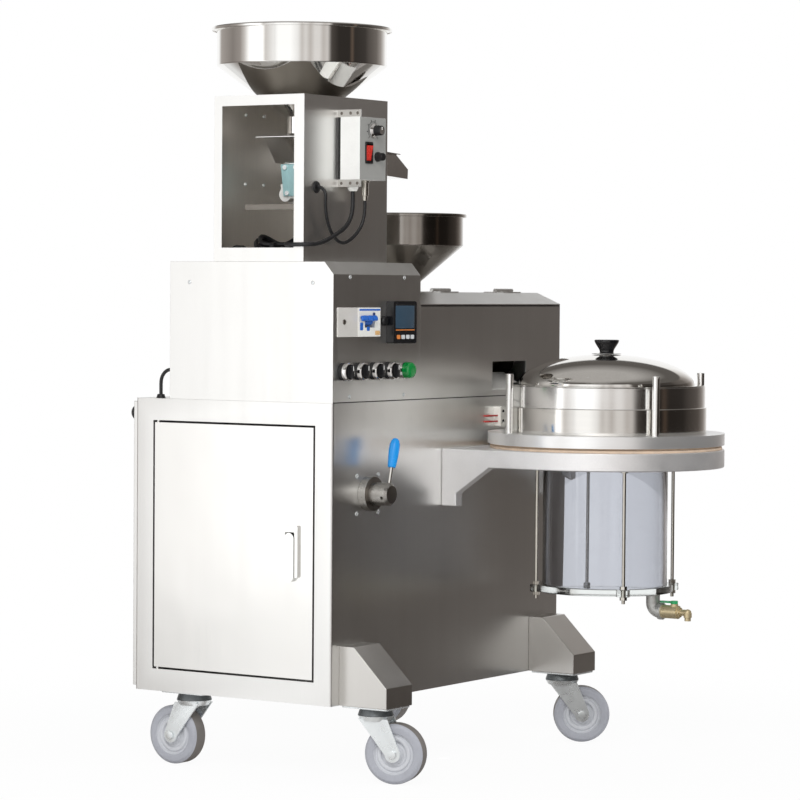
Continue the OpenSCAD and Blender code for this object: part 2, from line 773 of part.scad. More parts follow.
module feeder_tower() color(STEEL) in_frame() {
    trough_slot = [2 * (trough_half + trough_lip) + trough_slot_gap, trough_h + 2 * trough_slot_gap];
    slot_z = trough_under(tower_x1) - trough_slot_gap;
    difference() {
        translate([tower_x, tower_y, box_z1]) cube([tower_w, tower_d, tower_h]);
        translate([tower_x + sheet, tower_y + sheet, box_z1 + sheet])
            cube([tower_w - 2 * sheet, tower_d - 2 * sheet, tower_h - 2 * sheet]);
        translate([tower_x - 1, window_y[0], window_z[0]])
            cube([sheet + 2, window_y[1] - window_y[0], window_z[1] - window_z[0]]);
        translate([tower_x1 - 2 * sheet, mid_line - trough_slot[0] / 2, slot_z])
            cube([3 * sheet, trough_slot[0], trough_slot[1]]);
        translate([hopper_x, mid_line, tower_z1 - 2 * sheet])
            cylinder(r = hopper_seat_r + clr, h = 3 * sheet);
        translate([grommet_at[0], tower_y - 1, grommet_at[1]]) y_rod(lead_r + clr, sheet + 2);
    }
    translate([shelf_x[0], tower_y + sheet / 2, shelf_z - sheet])
        cube([shelf_x[1] - shelf_x[0], shelf_d, sheet]);
    translate([shelf_x[0], tower_y + sheet / 2, shelf_z - shelf_lip])
        cube([sheet, shelf_d, shelf_lip]);
}

module feeder_controller() color(WHITE) in_frame() {
    w = feed_box_x[1] - feed_box_x[0];
    h = feed_box_z[1] - feed_box_z[0];
    d = tower_y - feed_box_y;
    tab = 12;
    difference() {
        union() {
            translate([feed_box_x[0] + feed_plate_t, feed_box_y, feed_box_z[0]])
                cube([w - feed_plate_t, d, h]);
            translate([feed_box_x[0], feed_box_y, feed_box_z[0] - tab])
                cube([feed_plate_t, d, h + 2 * tab]);
            translate([feed_box_x[0] - 3, feed_box_y, feed_box_z[0]]) cube([4, d - 7, h]);
        }
        translate([dial_at[0], feed_box_y - 1, dial_at[1]]) y_rod(3 + run_fit, 15);
        translate([rocker_at[0] - rocker_size[0] / 2, feed_box_y - 1, rocker_at[1] - rocker_size[1] / 2])
            cube([rocker_size[0], 19, rocker_size[1]]);
        translate([rocker_at[0] - rocker_size[0] / 2 - 3, feed_box_y + 4, rocker_at[1]])
            x_rod(rocker_pin_r + run_fit, rocker_size[0] + 6);
    }
    translate([fuse_at[0], feed_box_y, fuse_at[1]]) turned_front()
        polygon([[0, 0], [8, 0], [8, 4], [6.5, 5], [6.5, 13], [5.5, 14], [0, 14]]);
}

module dial_knob() color(BLACK) in_frame() translate([dial_at[0], feed_box_y - clr, dial_at[1]]) {
    turned_front() polygon([[0, 0], [11, 0], [11, 4], [8.5, 6], [8, 17], [7, 18], [0, 18]]);
    y_rod(3, 13);
}

// Rocker: a bar on a cross pin, its upper half tipped out
module rocker_switch() color("#c8342c") in_frame()
    translate([rocker_at[0], feed_box_y + 4, rocker_at[1]]) {
        w = rocker_size[0] - 2 * clr;
        half = rocker_size[1] / 2 - 2;
        translate([-w / 2, 0, 0]) along_x(w)
            polygon([[-8, half - 1], [-5, 0], [-3, -half], [2, -half + 3], [4, 0], [1, half - 3]]);
        translate([-w / 2 - 2, 0, 0]) x_rod(rocker_pin_r, w + 4);
    }

module cable_fittings() color(WHITE) in_frame() {
    translate([gland_at[0], gland_at[1], feed_box_z[0] - gland_len]) {
        cylinder(r1 = 6.5, r2 = 9, h = 5);
        translate([0, 0, 5]) cylinder(r = 9, h = gland_len - 5);
    }
    translate([connector_at[0], connector_at[1], feed_box_z[0] - connector_len]) {
        cylinder(r = 4.5, h = 8);
        translate([0, 0, 8]) cylinder(r = 6, h = connector_len - 12);
        translate([0, 0, connector_len - 4]) cylinder(r = 7.5, h = 4);
    }
    translate([grommet_at[0], tower_y, grommet_at[1]]) turned_front()
        polygon([[0, 0], [10.5, 0], [8, 3], [0, 3]]);
    translate([rear_lead_x, box_d, rear_gland_z]) rotate(180) turned_front()
        polygon([[0, 0], [9, 0], [9, 6], [6, rear_gland_len], [0, rear_gland_len]]);
    translate([rear_lead_x, rear_grommet_y, cab_z1]) cylinder(r1 = 8, r2 = 6, h = rear_grommet_h);
    translate([mains_at[0], cover_y, mains_at[1]]) rotate(180) turned_front()
        polygon([[mains_bore_r, 0], [14, 0], [14, 7], [10, mains_len], [mains_bore_r, mains_len]]);
}

// Where a line that leans with the springs stands at a height, and the trough's underside at a place
function lean_x(x, z) = x - (z - spring_foot_z) * tan(spring_lean);
function trough_under(x) = trough_z - (x - trough_x) * tan(trough_tilt);

// Bar between two heights that leans with the springs
module leaning(x, w, z0, z1, d) {
    translate([0, mid_line, 0]) along_y(d)
        polygon([[lean_x(x, z0), z0], [lean_x(x + w, z0), z0], [lean_x(x + w, z1), z1], [lean_x(x, z1), z1]]);
}

// Vibrator: a cast block between the springs, with round bosses behind the front one, on four feet
module vibrator_base() color(WHITE) in_frame() {
    foot_r = 12;
    block_z = shelf_z + foot_r;
    block_h = 24;
    x0 = spring_x[0] + spring_t;
    w = spring_x[1] - x0;
    boss = [12.3, 14];
    difference() {
        union() {
            leaning(x0, w, block_z, block_z + block_h, spring_w + 12);
            translate([x0 + 20, mid_line - 18, block_z + block_h - 1]) cube([44, 36, 13]);
            for (y = [-19, 19]) translate([x0 + clr, mid_line + y, shelf_z + 19]) x_rod(boss[0], boss[1]);
        }
        translate([x0 + 38, mid_line - spring_w, block_z - 1]) cube([26, 2 * spring_w, 8]);
    }
    for (x = [x0 + 27, spring_x[1] - 13], y = [-18, 18]) translate([x, mid_line + y, shelf_z]) {
        cylinder(r1 = foot_r - 3, r2 = foot_r, h = foot_r / 2);
        translate([0, 0, foot_r / 2]) cylinder(r1 = foot_r, r2 = foot_r - 3, h = foot_r / 2);
    }
}

// Leaf springs: they lean back a little and end just under the trough, with screw heads at both ends
module leaf_springs() color("#a9d3d6") in_frame()
    for (k = [0, 1]) {
        x = spring_x[k];
        top_z = trough_under(x) - trough_gap;
        low_head = spring_foot_z + spring_screw[1];
        high_head = top_z - spring_screw[1];
        outer_x = k == 0 ? lean_x(x, low_head) - 3 : lean_x(x + spring_t, low_head) - 1.5;
        leaning(x, spring_t, spring_foot_z, top_z, spring_w);
        for (y = [-spring_screw[0], spring_screw[0]]) {
            translate([lean_x(x, high_head) - 3, mid_line + y, high_head]) x_rod(4, 4.5);
            translate([outer_x, mid_line + y, low_head]) x_rod(4, 4.5);
        }
    }

// Trough: a folded tray that slopes to its open outlet, with a leaning back, a lip and two foot bars
module feed_trough() color(POLISHED) in_frame() {
    wall = trough_wall;
    rake = trough_back / trough_h;
    wall_x = wall * sqrt(1 + rake * rake);
    brim = [trough_len - trough_nose[0] + trough_back + trough_lip, 2 * (trough_half + trough_lip), wall];
    translate([trough_x, mid_line, trough_z]) rotate([0, trough_tilt, 0]) difference() {
        union() {
            along_y(2 * trough_half) polygon([
                [0, 0], [trough_len, 0], [trough_len, trough_nose[1]],
                [trough_len - trough_nose[0], trough_h], [-trough_back, trough_h],
            ]);
            translate([-trough_back - trough_lip, -trough_half - trough_lip, trough_h - wall])
                cube(brim);
        }
        along_y(2 * (trough_half - wall)) polygon([
            [wall_x - rake * wall, wall], [trough_len + 1, wall], [trough_len + 1, trough_h + 1],
            [wall_x - rake * (trough_h + 1), trough_h + 1],
        ]);
    }
    for (x = spring_x) {
        top_z = trough_under(x) + 0.6 * wall;
        leaning(x + spring_t + trough_play, clamp_t, top_z - clamp_h, top_z, trough_half);
    }
}

// Round hopper of thin sheet: neck, cone, upright wall and drooped rim, written from the neck's foot up
module hopper_shell(low_r, low_z, wall_r, wall_z, top_z, rim, thick, drop) {
    rotate_extrude() polygon([
        [low_r - thick, low_z - drop], [low_r, low_z - drop],
        [low_r, low_z], [wall_r, wall_z], [wall_r, top_z - 1.5], [wall_r + rim - 1.5, top_z - 1.5],
        [wall_r + rim - 1.5, top_z - 6], [wall_r + rim, top_z - 6], [wall_r + rim, top_z],
        [wall_r - thick, top_z], [wall_r - thick, wall_z + thick / 2], [low_r - thick, low_z + thick / 2],
    ]);
}

module top_hopper() color(POLISHED) in_frame() translate([hopper_x, mid_line, 0])
    hopper_shell(throat_r, throat_z, hopper_r, hopper_wall_z, hopper_z1, rim_w, sheet, throat_drop);

module press_housing() color(STEEL) in_frame() {
    x0 = box_w;
    w = cab_w - box_w;
    front_z = press_h - chamfer_z - 2 * sheet - clr;
    cake_r = barrel_r + 6;
    leaf = [lid_hinge_len, 20];
    end_knuckle = lid_hinge_len / 3 - clr / 2;
    difference() {
        translate([x0, 0, cab_z1]) along_x(w) polygon([
            [0, 0], [box_d, 0], [box_d, press_h], [chamfer_y, press_h], [0, press_h - chamfer_z],
        ]);
        translate([x0 + sheet, 0, cab_z1]) along_x(w - 2 * sheet) polygon([
            [sheet, -1], [box_d - sheet, -1], [box_d - sheet, press_h - sheet],
            [lid_rear + clr, press_h - sheet],
            [lid_rear + clr, press_h + 1], [-1, press_h + 1], [-1, front_z], [sheet, front_z],
        ]);
        translate([x0 - 1, mid_line, press_axis_z]) x_rod(shank_r + 2, sheet + 2);
        translate([cab_w - sheet - 1, mid_line - cake_r, press_axis_z - cake_r])
            cube([sheet + 2, 2 * cake_r, 2 * cake_r]);
        translate([press_hopper_x - neck_r - clr, mid_line - neck_r - clr, press_z1 - 2 * sheet])
            cube([2 * neck_r + 2 * clr, 2 * neck_r + 2 * clr, 3 * sheet]);
        translate([outlet_x[0], -1, outlet_z[0]])
            cube([outlet_x[1] - outlet_x[0], sheet + 2, outlet_z[1] - outlet_z[0]]);
    }
    translate([outlet_x[0] + 1, 0, outlet_z[0]]) along_x(outlet_x[1] - outlet_x[0] - 2)
        polygon([[0, 0], [0, -sheet], [sheet, -sheet], [46, 27], [46, 29], [sheet, 2]]);
    for (x = lid_hinge_x) {
        translate([x, lid_axis[0] + lid_hinge_r, press_z1]) cube([leaf[0], leaf[1], sheet - 0.5]);
        for (k = [0, lid_hinge_len - end_knuckle]) translate([x + k, lid_axis[0], lid_axis[1]]) {
            x_rod(lid_hinge_r, end_knuckle);
            translate([0, 0, -lid_hinge_r]) cube([end_knuckle, lid_hinge_r + 1, sheet]);
        }
        translate([x + 1, lid_axis[0], lid_axis[1]]) x_rod(lid_pin_r, lid_hinge_len - 2);
    }
}

module press_lid() color(STEEL) in_frame() {
    x0 = box_w + sheet + clr;
    len = cab_w - box_w - 2 * sheet - 2 * clr;
    low = press_h - chamfer_z;
    mid_knuckle = lid_hinge_len / 3 - clr;
    leaf_d = 16;
    translate([x0, 0, cab_z1]) along_x(len) polygon([
        [0, low], [chamfer_y, press_h], [lid_rear, press_h], [lid_rear, press_h - sheet],
        [chamfer_y, press_h - sheet], [0, low - sheet],
    ]);
    for (x = lid_hinge_x) difference() {
        union() {
            translate([x, lid_axis[0] - lid_hinge_r - leaf_d, press_z1])
                cube([lid_hinge_len, leaf_d, sheet - 0.5]);
            translate([x + (lid_hinge_len - mid_knuckle) / 2, lid_axis[0], lid_axis[1]]) {
                x_rod(lid_hinge_r, mid_knuckle);
                translate([0, -lid_hinge_r - 1, -lid_hinge_r]) cube([mid_knuckle, lid_hinge_r + 1, sheet]);
            }
        }
        translate([x - 1, lid_axis[0], lid_axis[1]]) x_rod(lid_pin_r + run_fit, lid_hinge_len + 2);
    }
}

module press_hopper() color(POLISHED) in_frame() translate([press_hopper_x, mid_line, 0])
    hopper_shell(neck_r, feed_cone_z, feed_hopper_r, feed_wall_z, feed_hopper_z1, feed_rim, sheet,
        feed_cone_z - inlet_z);

// Barrel on two saddles, with an inlet boss, a bearing end and drain slots below
module press_barrel() color("#8f8c88") in_frame() {
    saddle_x = [barrel_x[0] + 30, barrel_x[1] - 50];
    saddle_w = 60;
    slot_x0 = 510;
    slot_pitch = 12;
    difference() {
        union() {
            translate([barrel_x[0], mid_line, press_axis_z]) x_rod(barrel_r, barrel_x[1] - barrel_x[0]);
            translate([press_hopper_x, mid_line, press_axis_z])
                cylinder(r = neck_r + 6, h = inlet_z - press_axis_z);
            for (x = saddle_x) translate([x, mid_line - saddle_w / 2, cab_z1])
                cube([20, saddle_w, press_axis_z - cab_z1]);
        }
        translate([barrel_x[0] - 1, mid_line, press_axis_z]) x_rod(shank_r + run_fit, bearing_len + 2);
        translate([barrel_x[0] + bearing_len, mid_line, press_axis_z])
            x_rod(bore_r, barrel_x[1] - barrel_x[0] - bearing_len + 1);
        translate([press_hopper_x, mid_line, press_axis_z])
            cylinder(r = neck_r - sheet, h = inlet_z - press_axis_z + 1);
        for (k = [0 : 7]) translate([slot_x0 + slot_pitch * k, mid_line - 12, press_axis_z - barrel_r - 1])
            cube([2.5, 24, barrel_r]);
    }
}

// Screw: plain shank, then one deep flight wound round a root
module press_screw() color("#a5a3a0") in_frame() translate([0, mid_line, press_axis_z]) {
    root_r = 15;
    flight_arc = 70;
    len = flight_x[1] - flight_x[0];
    translate([gearbox_x[0] + 20, 0, 0]) x_rod(shank_r, flight_x[0] - gearbox_x[0] - 19);
    translate([flight_x[0], 0, 0]) rotate([0, 90, 0])
        linear_extrude(len, twist = -360 * flight_turns, slices = 12 * flight_turns, $fn = 12)
            polygon(concat(
            [for (a = [0 : 17.5 : flight_arc]) flight_r * [cos(a), sin(a)]],
            [for (a = [flight_arc + 20 : 36 : 345]) root_r * [cos(a), sin(a)]]
        ));
}

module gear_motor() color("#7d8a93") in_frame() {
    motor_r = 56;
    gear_len = gearbox_x[1] - gearbox_x[0];
    translate([gearbox_x[0], mid_line - gearbox_w / 2, cab_z1]) difference() {
        union() {
            translate([0, 0, foot_h]) cube([gear_len, gearbox_w, gearbox_h]);
            translate([0, -10, 0]) cube([gear_len, gearbox_w + 20, foot_h]);
        }
        translate([19, gearbox_w / 2, press_axis_z - cab_z1]) x_rod(shank_r + run_fit, gear_len);
    }
    translate([14, mid_line, press_axis_z]) x_rod(motor_r, gearbox_x[0] - 14);
}

module vacuum_pump() color("#5d7f92") in_frame() translate([pump_at[0], pump_at[1], cab_z0 + sheet]) {
    pump_r = 58;
    foot = 14;
    axis_z = foot + pump_r;
    difference() {
        union() {
            translate([110, 0, axis_z]) x_rod(pump_r, 130);
            translate([0, -60, 0]) cube([110, 120, foot + 2 * pump_r + 20]);
            translate([120, -50, 0]) cube([100, 100, axis_z]);
        }
        translate([55, 0, foot + 2 * pump_r]) cylinder(r = 8, h = 30);
    }
}

// Cast bracket: a slab with a round nose on two gusset feet
module filter_bracket() color(CAST) in_frame() {
    gusset_w = 20;
    right_x = min(filter_x + flange_r, cab_w) - gusset_w - 1;
    difference() {
        translate([0, 0, bracket_z0]) linear_extrude(bracket_t) {
            translate([filter_x, filter_y]) circle(flange_r);
            translate([filter_x - flange_r, filter_y]) square([2 * flange_r, -filter_y]);
        }
        translate([filter_x, filter_y, bracket_z0 - 1]) cylinder(r = drain_r, h = bracket_t + 2);
    }
    for (x = [filter_x - flange_r, right_x])
        translate([x, 0, bracket_z0]) along_x(gusset_w)
            polygon([[0, 1], [-95, 1], [-95, 0], [-30, -46], [-30, -68], [0, -68]]);
}

module flange_gasket() color("#c9a47c") in_frame() translate([filter_x, filter_y, bracket_z1])
    difference() {
    cylinder(r = flange_r - 4, h = gasket_t);
    translate([0, 0, -1]) cylinder(r = drain_r, h = gasket_t + 2);
}

// Flange: the filter's floor with its drain holes, and four slotted posts
module filter_flange() color(POLISHED) in_frame() translate([filter_x, filter_y, flange_z]) {
    hole_r = 5;
    difference() {
        cylinder(r = flange_r, h = flange_t);
        for (n = [1, 2], k = [1 : 6 * n]) rotate(60 * k / n) translate([36 * n, 0, -1])
            cylinder(r = hole_r, h = flange_t + 2);
        translate([0, 0, -1]) cylinder(r = hole_r, h = flange_t + 2);
    }
    for (k = [0 : 3]) rotate(post_turn + 90 * k) translate([post_ring_r, 0, flange_t - 1]) difference() {
        cylinder(r = post_r, h = post_h + 1);
        translate([-post_r - 1, -1.25, post_h - 2]) cube([2 * post_r + 2, 2.5, 4]);
    }
}

module filter_barrel() color(POLISHED) in_frame() translate([filter_x, filter_y, 0]) difference() {
    union() {
        translate([0, 0, pot_z0]) cylinder(r = pot_r, h = pot_step_z - pot_z0);
        translate([0, 0, pot_step_z - 1]) cylinder(r = pot_upper_r, h = pot_z1 - pot_step_z + 1);
    }
    translate([0, 0, pot_z0 - 1]) cylinder(r = pot_upper_r - pot_wall, h = pot_h + 2);
}

// Domed lid: a flat rim on the pot's wall, and a crown inside it (a superellipse, turned)
function dome_line(r, h) =
    [
        for (i = [0 : dome_steps]) let (a = 90 * i / dome_steps)
            [r * pow(cos(a), 2 / dome_fullness), h * pow(sin(a), 2 / dome_fullness)],
    ];
module filter_lid() color(POLISHED) in_frame() translate([filter_x, filter_y, dome_z0]) {
    inner = dome_line(dome_r - lid_sheet, dome_h - lid_sheet);
    rotate_extrude() polygon(concat(
        [[lid_rim_r, -lid_rim_h], [lid_rim_r, 0]], dome_line(dome_r, dome_h),
        [for (i = [dome_steps : -1 : 0]) inner[i]], [[dome_r - lid_sheet, -lid_rim_h]]
    ));
}

module lid_knob() color(BLACK) in_frame() translate([filter_x, filter_y, dome_z0 + dome_h])
    rotate_extrude() polygon([
        [0, 0], [25.5, 0], [25.5, 1.5], [12.5, 3], [12, 5], [13.5, 9], [17.5, 15], [20.5, 20], [21.5, 23.5],
        [21, 25], [19, 25.5],
        [0, 25.5],
    ]);

// Clear tank: a turned wall standing on a base with four round ears
module clear_tank() color("#bcd3de", 0.4) in_frame() translate([filter_x, filter_y, tank_z0]) {
    translate([0, 0, -base_t]) linear_extrude(base_t) difference() {
        union() {
            circle(base_r);
            for (k = [0 : 3]) rotate(45 + 90 * k) translate([tie_ring_r, 0]) circle(ear_r);
        }
        for (k = [0 : 3]) rotate(45 + 90 * k) translate([tie_ring_r, 0]) circle(tie_r + clr);
        translate([tap_x - filter_x, tap_y - filter_y]) circle(tap_r - 4);
    }
    rotate_extrude() translate([tank_r - tank_wall, -1]) square([tank_wall, tank_h + 1]);
}

module tie_rods() color(ZINC) in_frame() translate([filter_x, filter_y, 0])
    for (k = [0 : 3]) rotate(45 + 90 * k) translate([tie_ring_r, 0, 0]) {
        nut_h = 6;
        low = tank_z0 - base_t;
        translate([0, 0, low - 12]) cylinder(r = tie_r, h = bracket_z0 - low + 12);
        translate([0, 0, low - nut_h]) cylinder(r = 6.5, h = nut_h, $fn = 6);
        translate([0, 0, tank_z0]) cylinder(r = 6.5, h = nut_h, $fn = 6);
        translate([0, 0, bracket_z0 - nut_h]) cylinder(r = 6.5, h = nut_h, $fn = 6);
    }

// Tap: elbow down from the tank's base, collar, valve body, and a spout bent down
module tap_body() color("#b9a06a") in_frame() translate([tap_x, tap_y, tap_z]) {
    spout_drop = 8;
    body = [tap_bend + 6, tap_bend + 36];
    spout_y = -body[1] - 10;
    base_z = tank_z0 - base_t - tap_z;
    translate([0, 0, tap_bend]) cylinder(r = tap_r, h = base_z - tap_bend);
    translate([0, -tap_bend, tap_bend]) rotate([90, 0, 90]) rotate_extrude(angle = -90)
        translate([tap_bend, 0]) circle(tap_r);
    translate([0, -body[0], 0]) y_rod(tap_r + 2.5, body[0] - tap_bend + 1);
    translate([0, -body[1], 0]) y_rod(tap_r - 0.5, body[1] - body[0] + 1);
    translate([0, -body[1] - 4, 0]) y_rod(tap_r - 3.5, 5);
    translate([0, spout_y - spout_drop, 0]) y_rod(spout_r, spout_drop + 8);
    translate([0, spout_y - spout_drop, 0]) sphere(spout_r + 0.9);
    translate([0, spout_y - spout_drop, -spout_drop - spout_tip])
        cylinder(r = spout_r, h = spout_drop + spout_tip);
    translate([0, spout_y - spout_drop, -spout_drop]) cylinder(r = spout_r + 1.5, h = spout_drop);
    translate([0, stem_y - tap_y, 0]) cylinder(r = stem_r + 2, h = tap_r + 2);
}

module tap_handle() color("#2aa163") in_frame() translate([tap_x, stem_y, tap_z + tap_r + 2 + clr]) {
    len = 28;
    cylinder(r = stem_r + 1.5, h = 5);
    translate([-5, 0, 1]) cube([10, len - 5, 3]);
    translate([0, len - 5, 1]) cylinder(r = 5, h = 3);
}

module heater_terminal() color(WHITE) in_frame() {
    w = terminal_x[1] - terminal_x[0];
    h = terminal_z[1] - terminal_z[0];
    t = 14;
    translate([terminal_x[0], 0, terminal_z[0]]) difference() {
        translate([w / 2, -t / 2, h / 2]) along_y(t) translate([-w / 2, -h / 2]) round_rect(w, h, 3);
        for (x = [9, w - 9], z = [9, h - 9]) translate([x, -t - 1, z]) y_rod(3.5, 6);
    }
    for (z = [9, 19]) translate([terminal_x[0], -wire_bend, terminal_z[0] + z]) {
        translate([-25, 0, 0]) x_rod(wire_r, 25.5);
        translate([-25, wire_bend, 0]) rotate(180) rotate_extrude(angle = 90)
            translate([wire_bend, 0]) circle(wire_r);
    }
}

module feeder_cord() color(BLACK) in_frame() tube(feeder_route, cord_r, 8);

// Hank path: one turn is a run, a round end, a run and a round end
function hank_run(x, r) = r * (1 - hank_waist * pow(cos(90 * x / hank_half), 2));
function hank_flat(f, r) =
    f < 0.2 ? let (x = hank_half * (f / 0.1 - 1)) [x, -hank_run(x, r)] :
    f < 0.5 ? let (a = 600 * (f - 0.2) - 90) [hank_half + r * cos(a), r * sin(a)] :
    f < 0.7 ? let (x = hank_half * (1 - (f - 0.5) / 0.1)) [x, hank_run(x, r)] :
              let (a = 600 * (f - 0.7) + 90) [-hank_half + r * cos(a), r * sin(a)];
// Each layer takes a turn and a half: a turn of spiral, then half a turn of climb
function hank_out(s) =
    let (layer = floor(s / 1.5), part = min(s - 1.5 * layer, 1)) layer % 2 == 0 ? 1 - part : part;
function hank_level(s) =
    let (layer = floor(s / 1.5), part = s - 1.5 * layer) layer + max(0, (part - 1) / 0.5);
function hank_point(s) =
    let (
        turn = hank_start + s,
        q = hank_flat(turn - floor(turn), hank_r + hank_step * hank_out(s)),
        level = min(hank_level(s), hank_layers - 1)
    )
    [hank_at[0] + q[1], hank_at[1] + q[0], hank_floor + hank_lift * level];
hank_steps = round(hank_turns * hank_rings);
hank_loops = [for (i = [0 : hank_steps]) hank_point(hank_turns * i / hank_steps)];
hank_exit = hank_loops[hank_steps] - [6, 0, 0];
hank_lead = [
    for (a = [0 : 15 : 90])
        [plug_face[0] + hank_lead_r * sin(a), plug_face[1] - hank_lead_r * (1 - cos(a)),
         plug_axis_z - (plug_axis_z - hank_floor) * (1 - cos(2 * a)) / 2],
];
hank_path = concat([plug_face_point(relief_gap)], hank_lead, hank_loops, [hank_exit]);
function plug_face_point(back) = [plug_face[0] - back, plug_face[1], plug_axis_z];

// Least gap between turns that pass each other, for the build's log
hank_gap = min([
    for (i = [0 : len(hank_path) - 1], j = [i + hank_rings / 2 : 1 : len(hank_path) - 1])
        norm(hank_path[i] - hank_path[j]),
]) - 2 * cord_r;
echo(hank_gap = hank_gap);

module feeder_hank() color(BLACK) in_frame() tube(hank_path, cord_r, 6);

module feeder_plug() color(BLACK) in_frame() translate(plug_face_point(relief_gap)) {
    translate([-relief_len, 0, 0]) rotate([0, 90, 0])
        cylinder(r1 = plug_r - 5, r2 = cord_r + 1, h = relief_len);
    translate([-relief_len - plug_len, 0, 0]) rotate([0, 90, 0]) rotate_extrude()
        polygon([[0, 0], [plug_r, 0], [plug_r, plug_len - 8], [plug_r - 5, plug_len], [0, plug_len]]);
    for (y = [-5, 5]) translate([-relief_len - plug_len - pin_len, y - 3, -0.75])
        cube([pin_len + 1, 6, 1.5]);
}

module vibrator_lead() color(BLACK) in_frame() tube(vibrator_route, lead_r, 8);

module rear_lead() color(BLACK) in_frame() tube(rear_route, rear_lead_r, 8);

cabinet_shell();
rear_cover();
front_outriggers();
caster_plates();
caster_fork(casters[0]);  // caster_fork_1
caster_fork(casters[1]);  // caster_fork_2
caster_fork(casters[2]);  // caster_fork_3
caster_fork(casters[3]);  // caster_fork_4
caster_wheel(casters[0]);  // caster_wheel_1
caster_wheel(casters[1]);  // caster_wheel_2
caster_wheel(casters[2]);  // caster_wheel_3
caster_wheel(casters[3]);  // caster_wheel_4
cabinet_door();
door_lock_case();
door_lock_lever();
lever_bearing();
lever_hub();
lever_grip();
control_box();
breaker_case();
breaker_toggle();
temp_controller();
selector_bezels();
selector_knob(0);  // selector_knob_1
selector_knob(1);  // selector_knob_2
selector_knob(2);  // selector_knob_3
selector_knob(3);  // selector_knob_4
pilot_lamp();
feeder_tower();
feeder_controller();
dial_knob();
rocker_switch();
cable_fittings();
vibrator_base();
leaf_springs();
feed_trough();
top_hopper();
press_housing();
press_lid();
press_hopper();
press_barrel();
press_screw();
gear_motor();
vacuum_pump();
filter_bracket();
flange_gasket();
filter_flange();
filter_barrel();
filter_lid();
lid_knob();
clear_tank();
tie_rods();
tap_body();
tap_handle();
heater_terminal();
feeder_cord();
feeder_hank();
feeder_plug();
vibrator_lead();
rear_lead();
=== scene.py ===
"""Looks of a screw oil press on a wheeled stainless cabinet, with a seed feeder and a vacuum filter."""
import json
import math

import bmesh
import bpy
import numpy as np
from mathutils import Matrix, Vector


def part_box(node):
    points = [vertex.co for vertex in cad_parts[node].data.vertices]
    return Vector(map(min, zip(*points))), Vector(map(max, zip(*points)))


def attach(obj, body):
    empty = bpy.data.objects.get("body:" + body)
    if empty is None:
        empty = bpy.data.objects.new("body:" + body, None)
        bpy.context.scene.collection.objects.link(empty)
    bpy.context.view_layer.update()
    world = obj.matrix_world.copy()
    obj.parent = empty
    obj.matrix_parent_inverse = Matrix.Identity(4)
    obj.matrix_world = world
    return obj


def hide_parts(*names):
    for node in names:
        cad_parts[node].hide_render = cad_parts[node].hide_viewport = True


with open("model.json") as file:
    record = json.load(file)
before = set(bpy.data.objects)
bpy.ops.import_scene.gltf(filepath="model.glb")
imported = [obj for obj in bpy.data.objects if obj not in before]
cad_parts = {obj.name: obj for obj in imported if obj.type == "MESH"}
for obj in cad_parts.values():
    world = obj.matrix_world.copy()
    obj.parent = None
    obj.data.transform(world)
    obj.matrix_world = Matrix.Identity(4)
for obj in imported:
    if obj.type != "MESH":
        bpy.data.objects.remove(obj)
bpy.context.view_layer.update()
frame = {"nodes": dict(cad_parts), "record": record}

# Picture: the machine stands on a white sweep and is seen from its front left with a long lens,
# a little above the middle. Place and turn come from its straight edges in the photograph.
zero = np.array([*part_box("cabinet_shell")[0][:2], 0.0])


def place(points):
    """Metres in the frame, from millimetres off the cabinet's front left corner on the floor."""
    return zero + np.asarray(points, float) / 1000


yaw, dip, roll = np.radians([33.39, 1.98, 0.42])
ahead = np.array([math.cos(yaw), math.sin(yaw), 0.0])
aside = np.array([math.sin(yaw), -math.cos(yaw), 0.0])
plumb = np.array([0.0, 0.0, 1.0])
rise = plumb * math.cos(dip) + ahead * math.sin(dip)
turn = np.eye(4)
turn[:3, 0] = aside * math.cos(roll) + rise * math.sin(roll)
turn[:3, 1] = rise * math.cos(roll) - aside * math.sin(roll)
turn[:3, 2] = plumb * math.sin(dip) - ahead * math.cos(dip)
turn[:3, 3] = place((-4300.4, -2965.9, 810.9))
camera = bpy.data.objects.new("camera", bpy.data.cameras.new("camera"))
camera.data.sensor_width = 36
camera.data.lens = 144.27
camera.data.clip_end = 60
camera.matrix_world = Matrix(turn.tolist())
bpy.context.collection.objects.link(camera)
bpy.context.scene.camera = camera
bpy.context.scene.view_settings.view_transform = "Standard"


def add(tree, kind, inputs=None, **settings):
    """One node with its settings; an input takes a value, or the output that is linked to it."""
    node = tree.nodes.new(kind)
    for name, value in settings.items():
        setattr(node, name, value)
    for name, value in (inputs or {}).items():
        if isinstance(value, bpy.types.NodeSocket):
            tree.links.new(value, node.inputs[name])
        else:
            node.inputs[name].default_value = value
    return node


def hexed(code):
    """Linear red, green, blue and alpha from an sRGB hex code."""
    part = np.array([int(code[i:i + 2], 16) for i in (1, 3, 5)]) / 255
    line = np.where(part <= 0.04045, part / 12.92, ((part + 0.055) / 1.055) ** 2.4)
    return (*line.tolist(), 1.0)


def seen_by(tree):
    """One where the camera, a mirror or clear plastic looks at it, and nothing for soft light."""
    path = add(tree, "ShaderNodeLightPath")
    seen = add(tree, "ShaderNodeMath",
               {0: path.outputs["Is Camera Ray"], 1: path.outputs["Is Glossy Ray"]}, operation="MAXIMUM")
    return add(tree, "ShaderNodeMath", {0: seen.outputs[0], 1: path.outputs["Is Transmission Ray"]},
               operation="MAXIMUM").outputs[0]


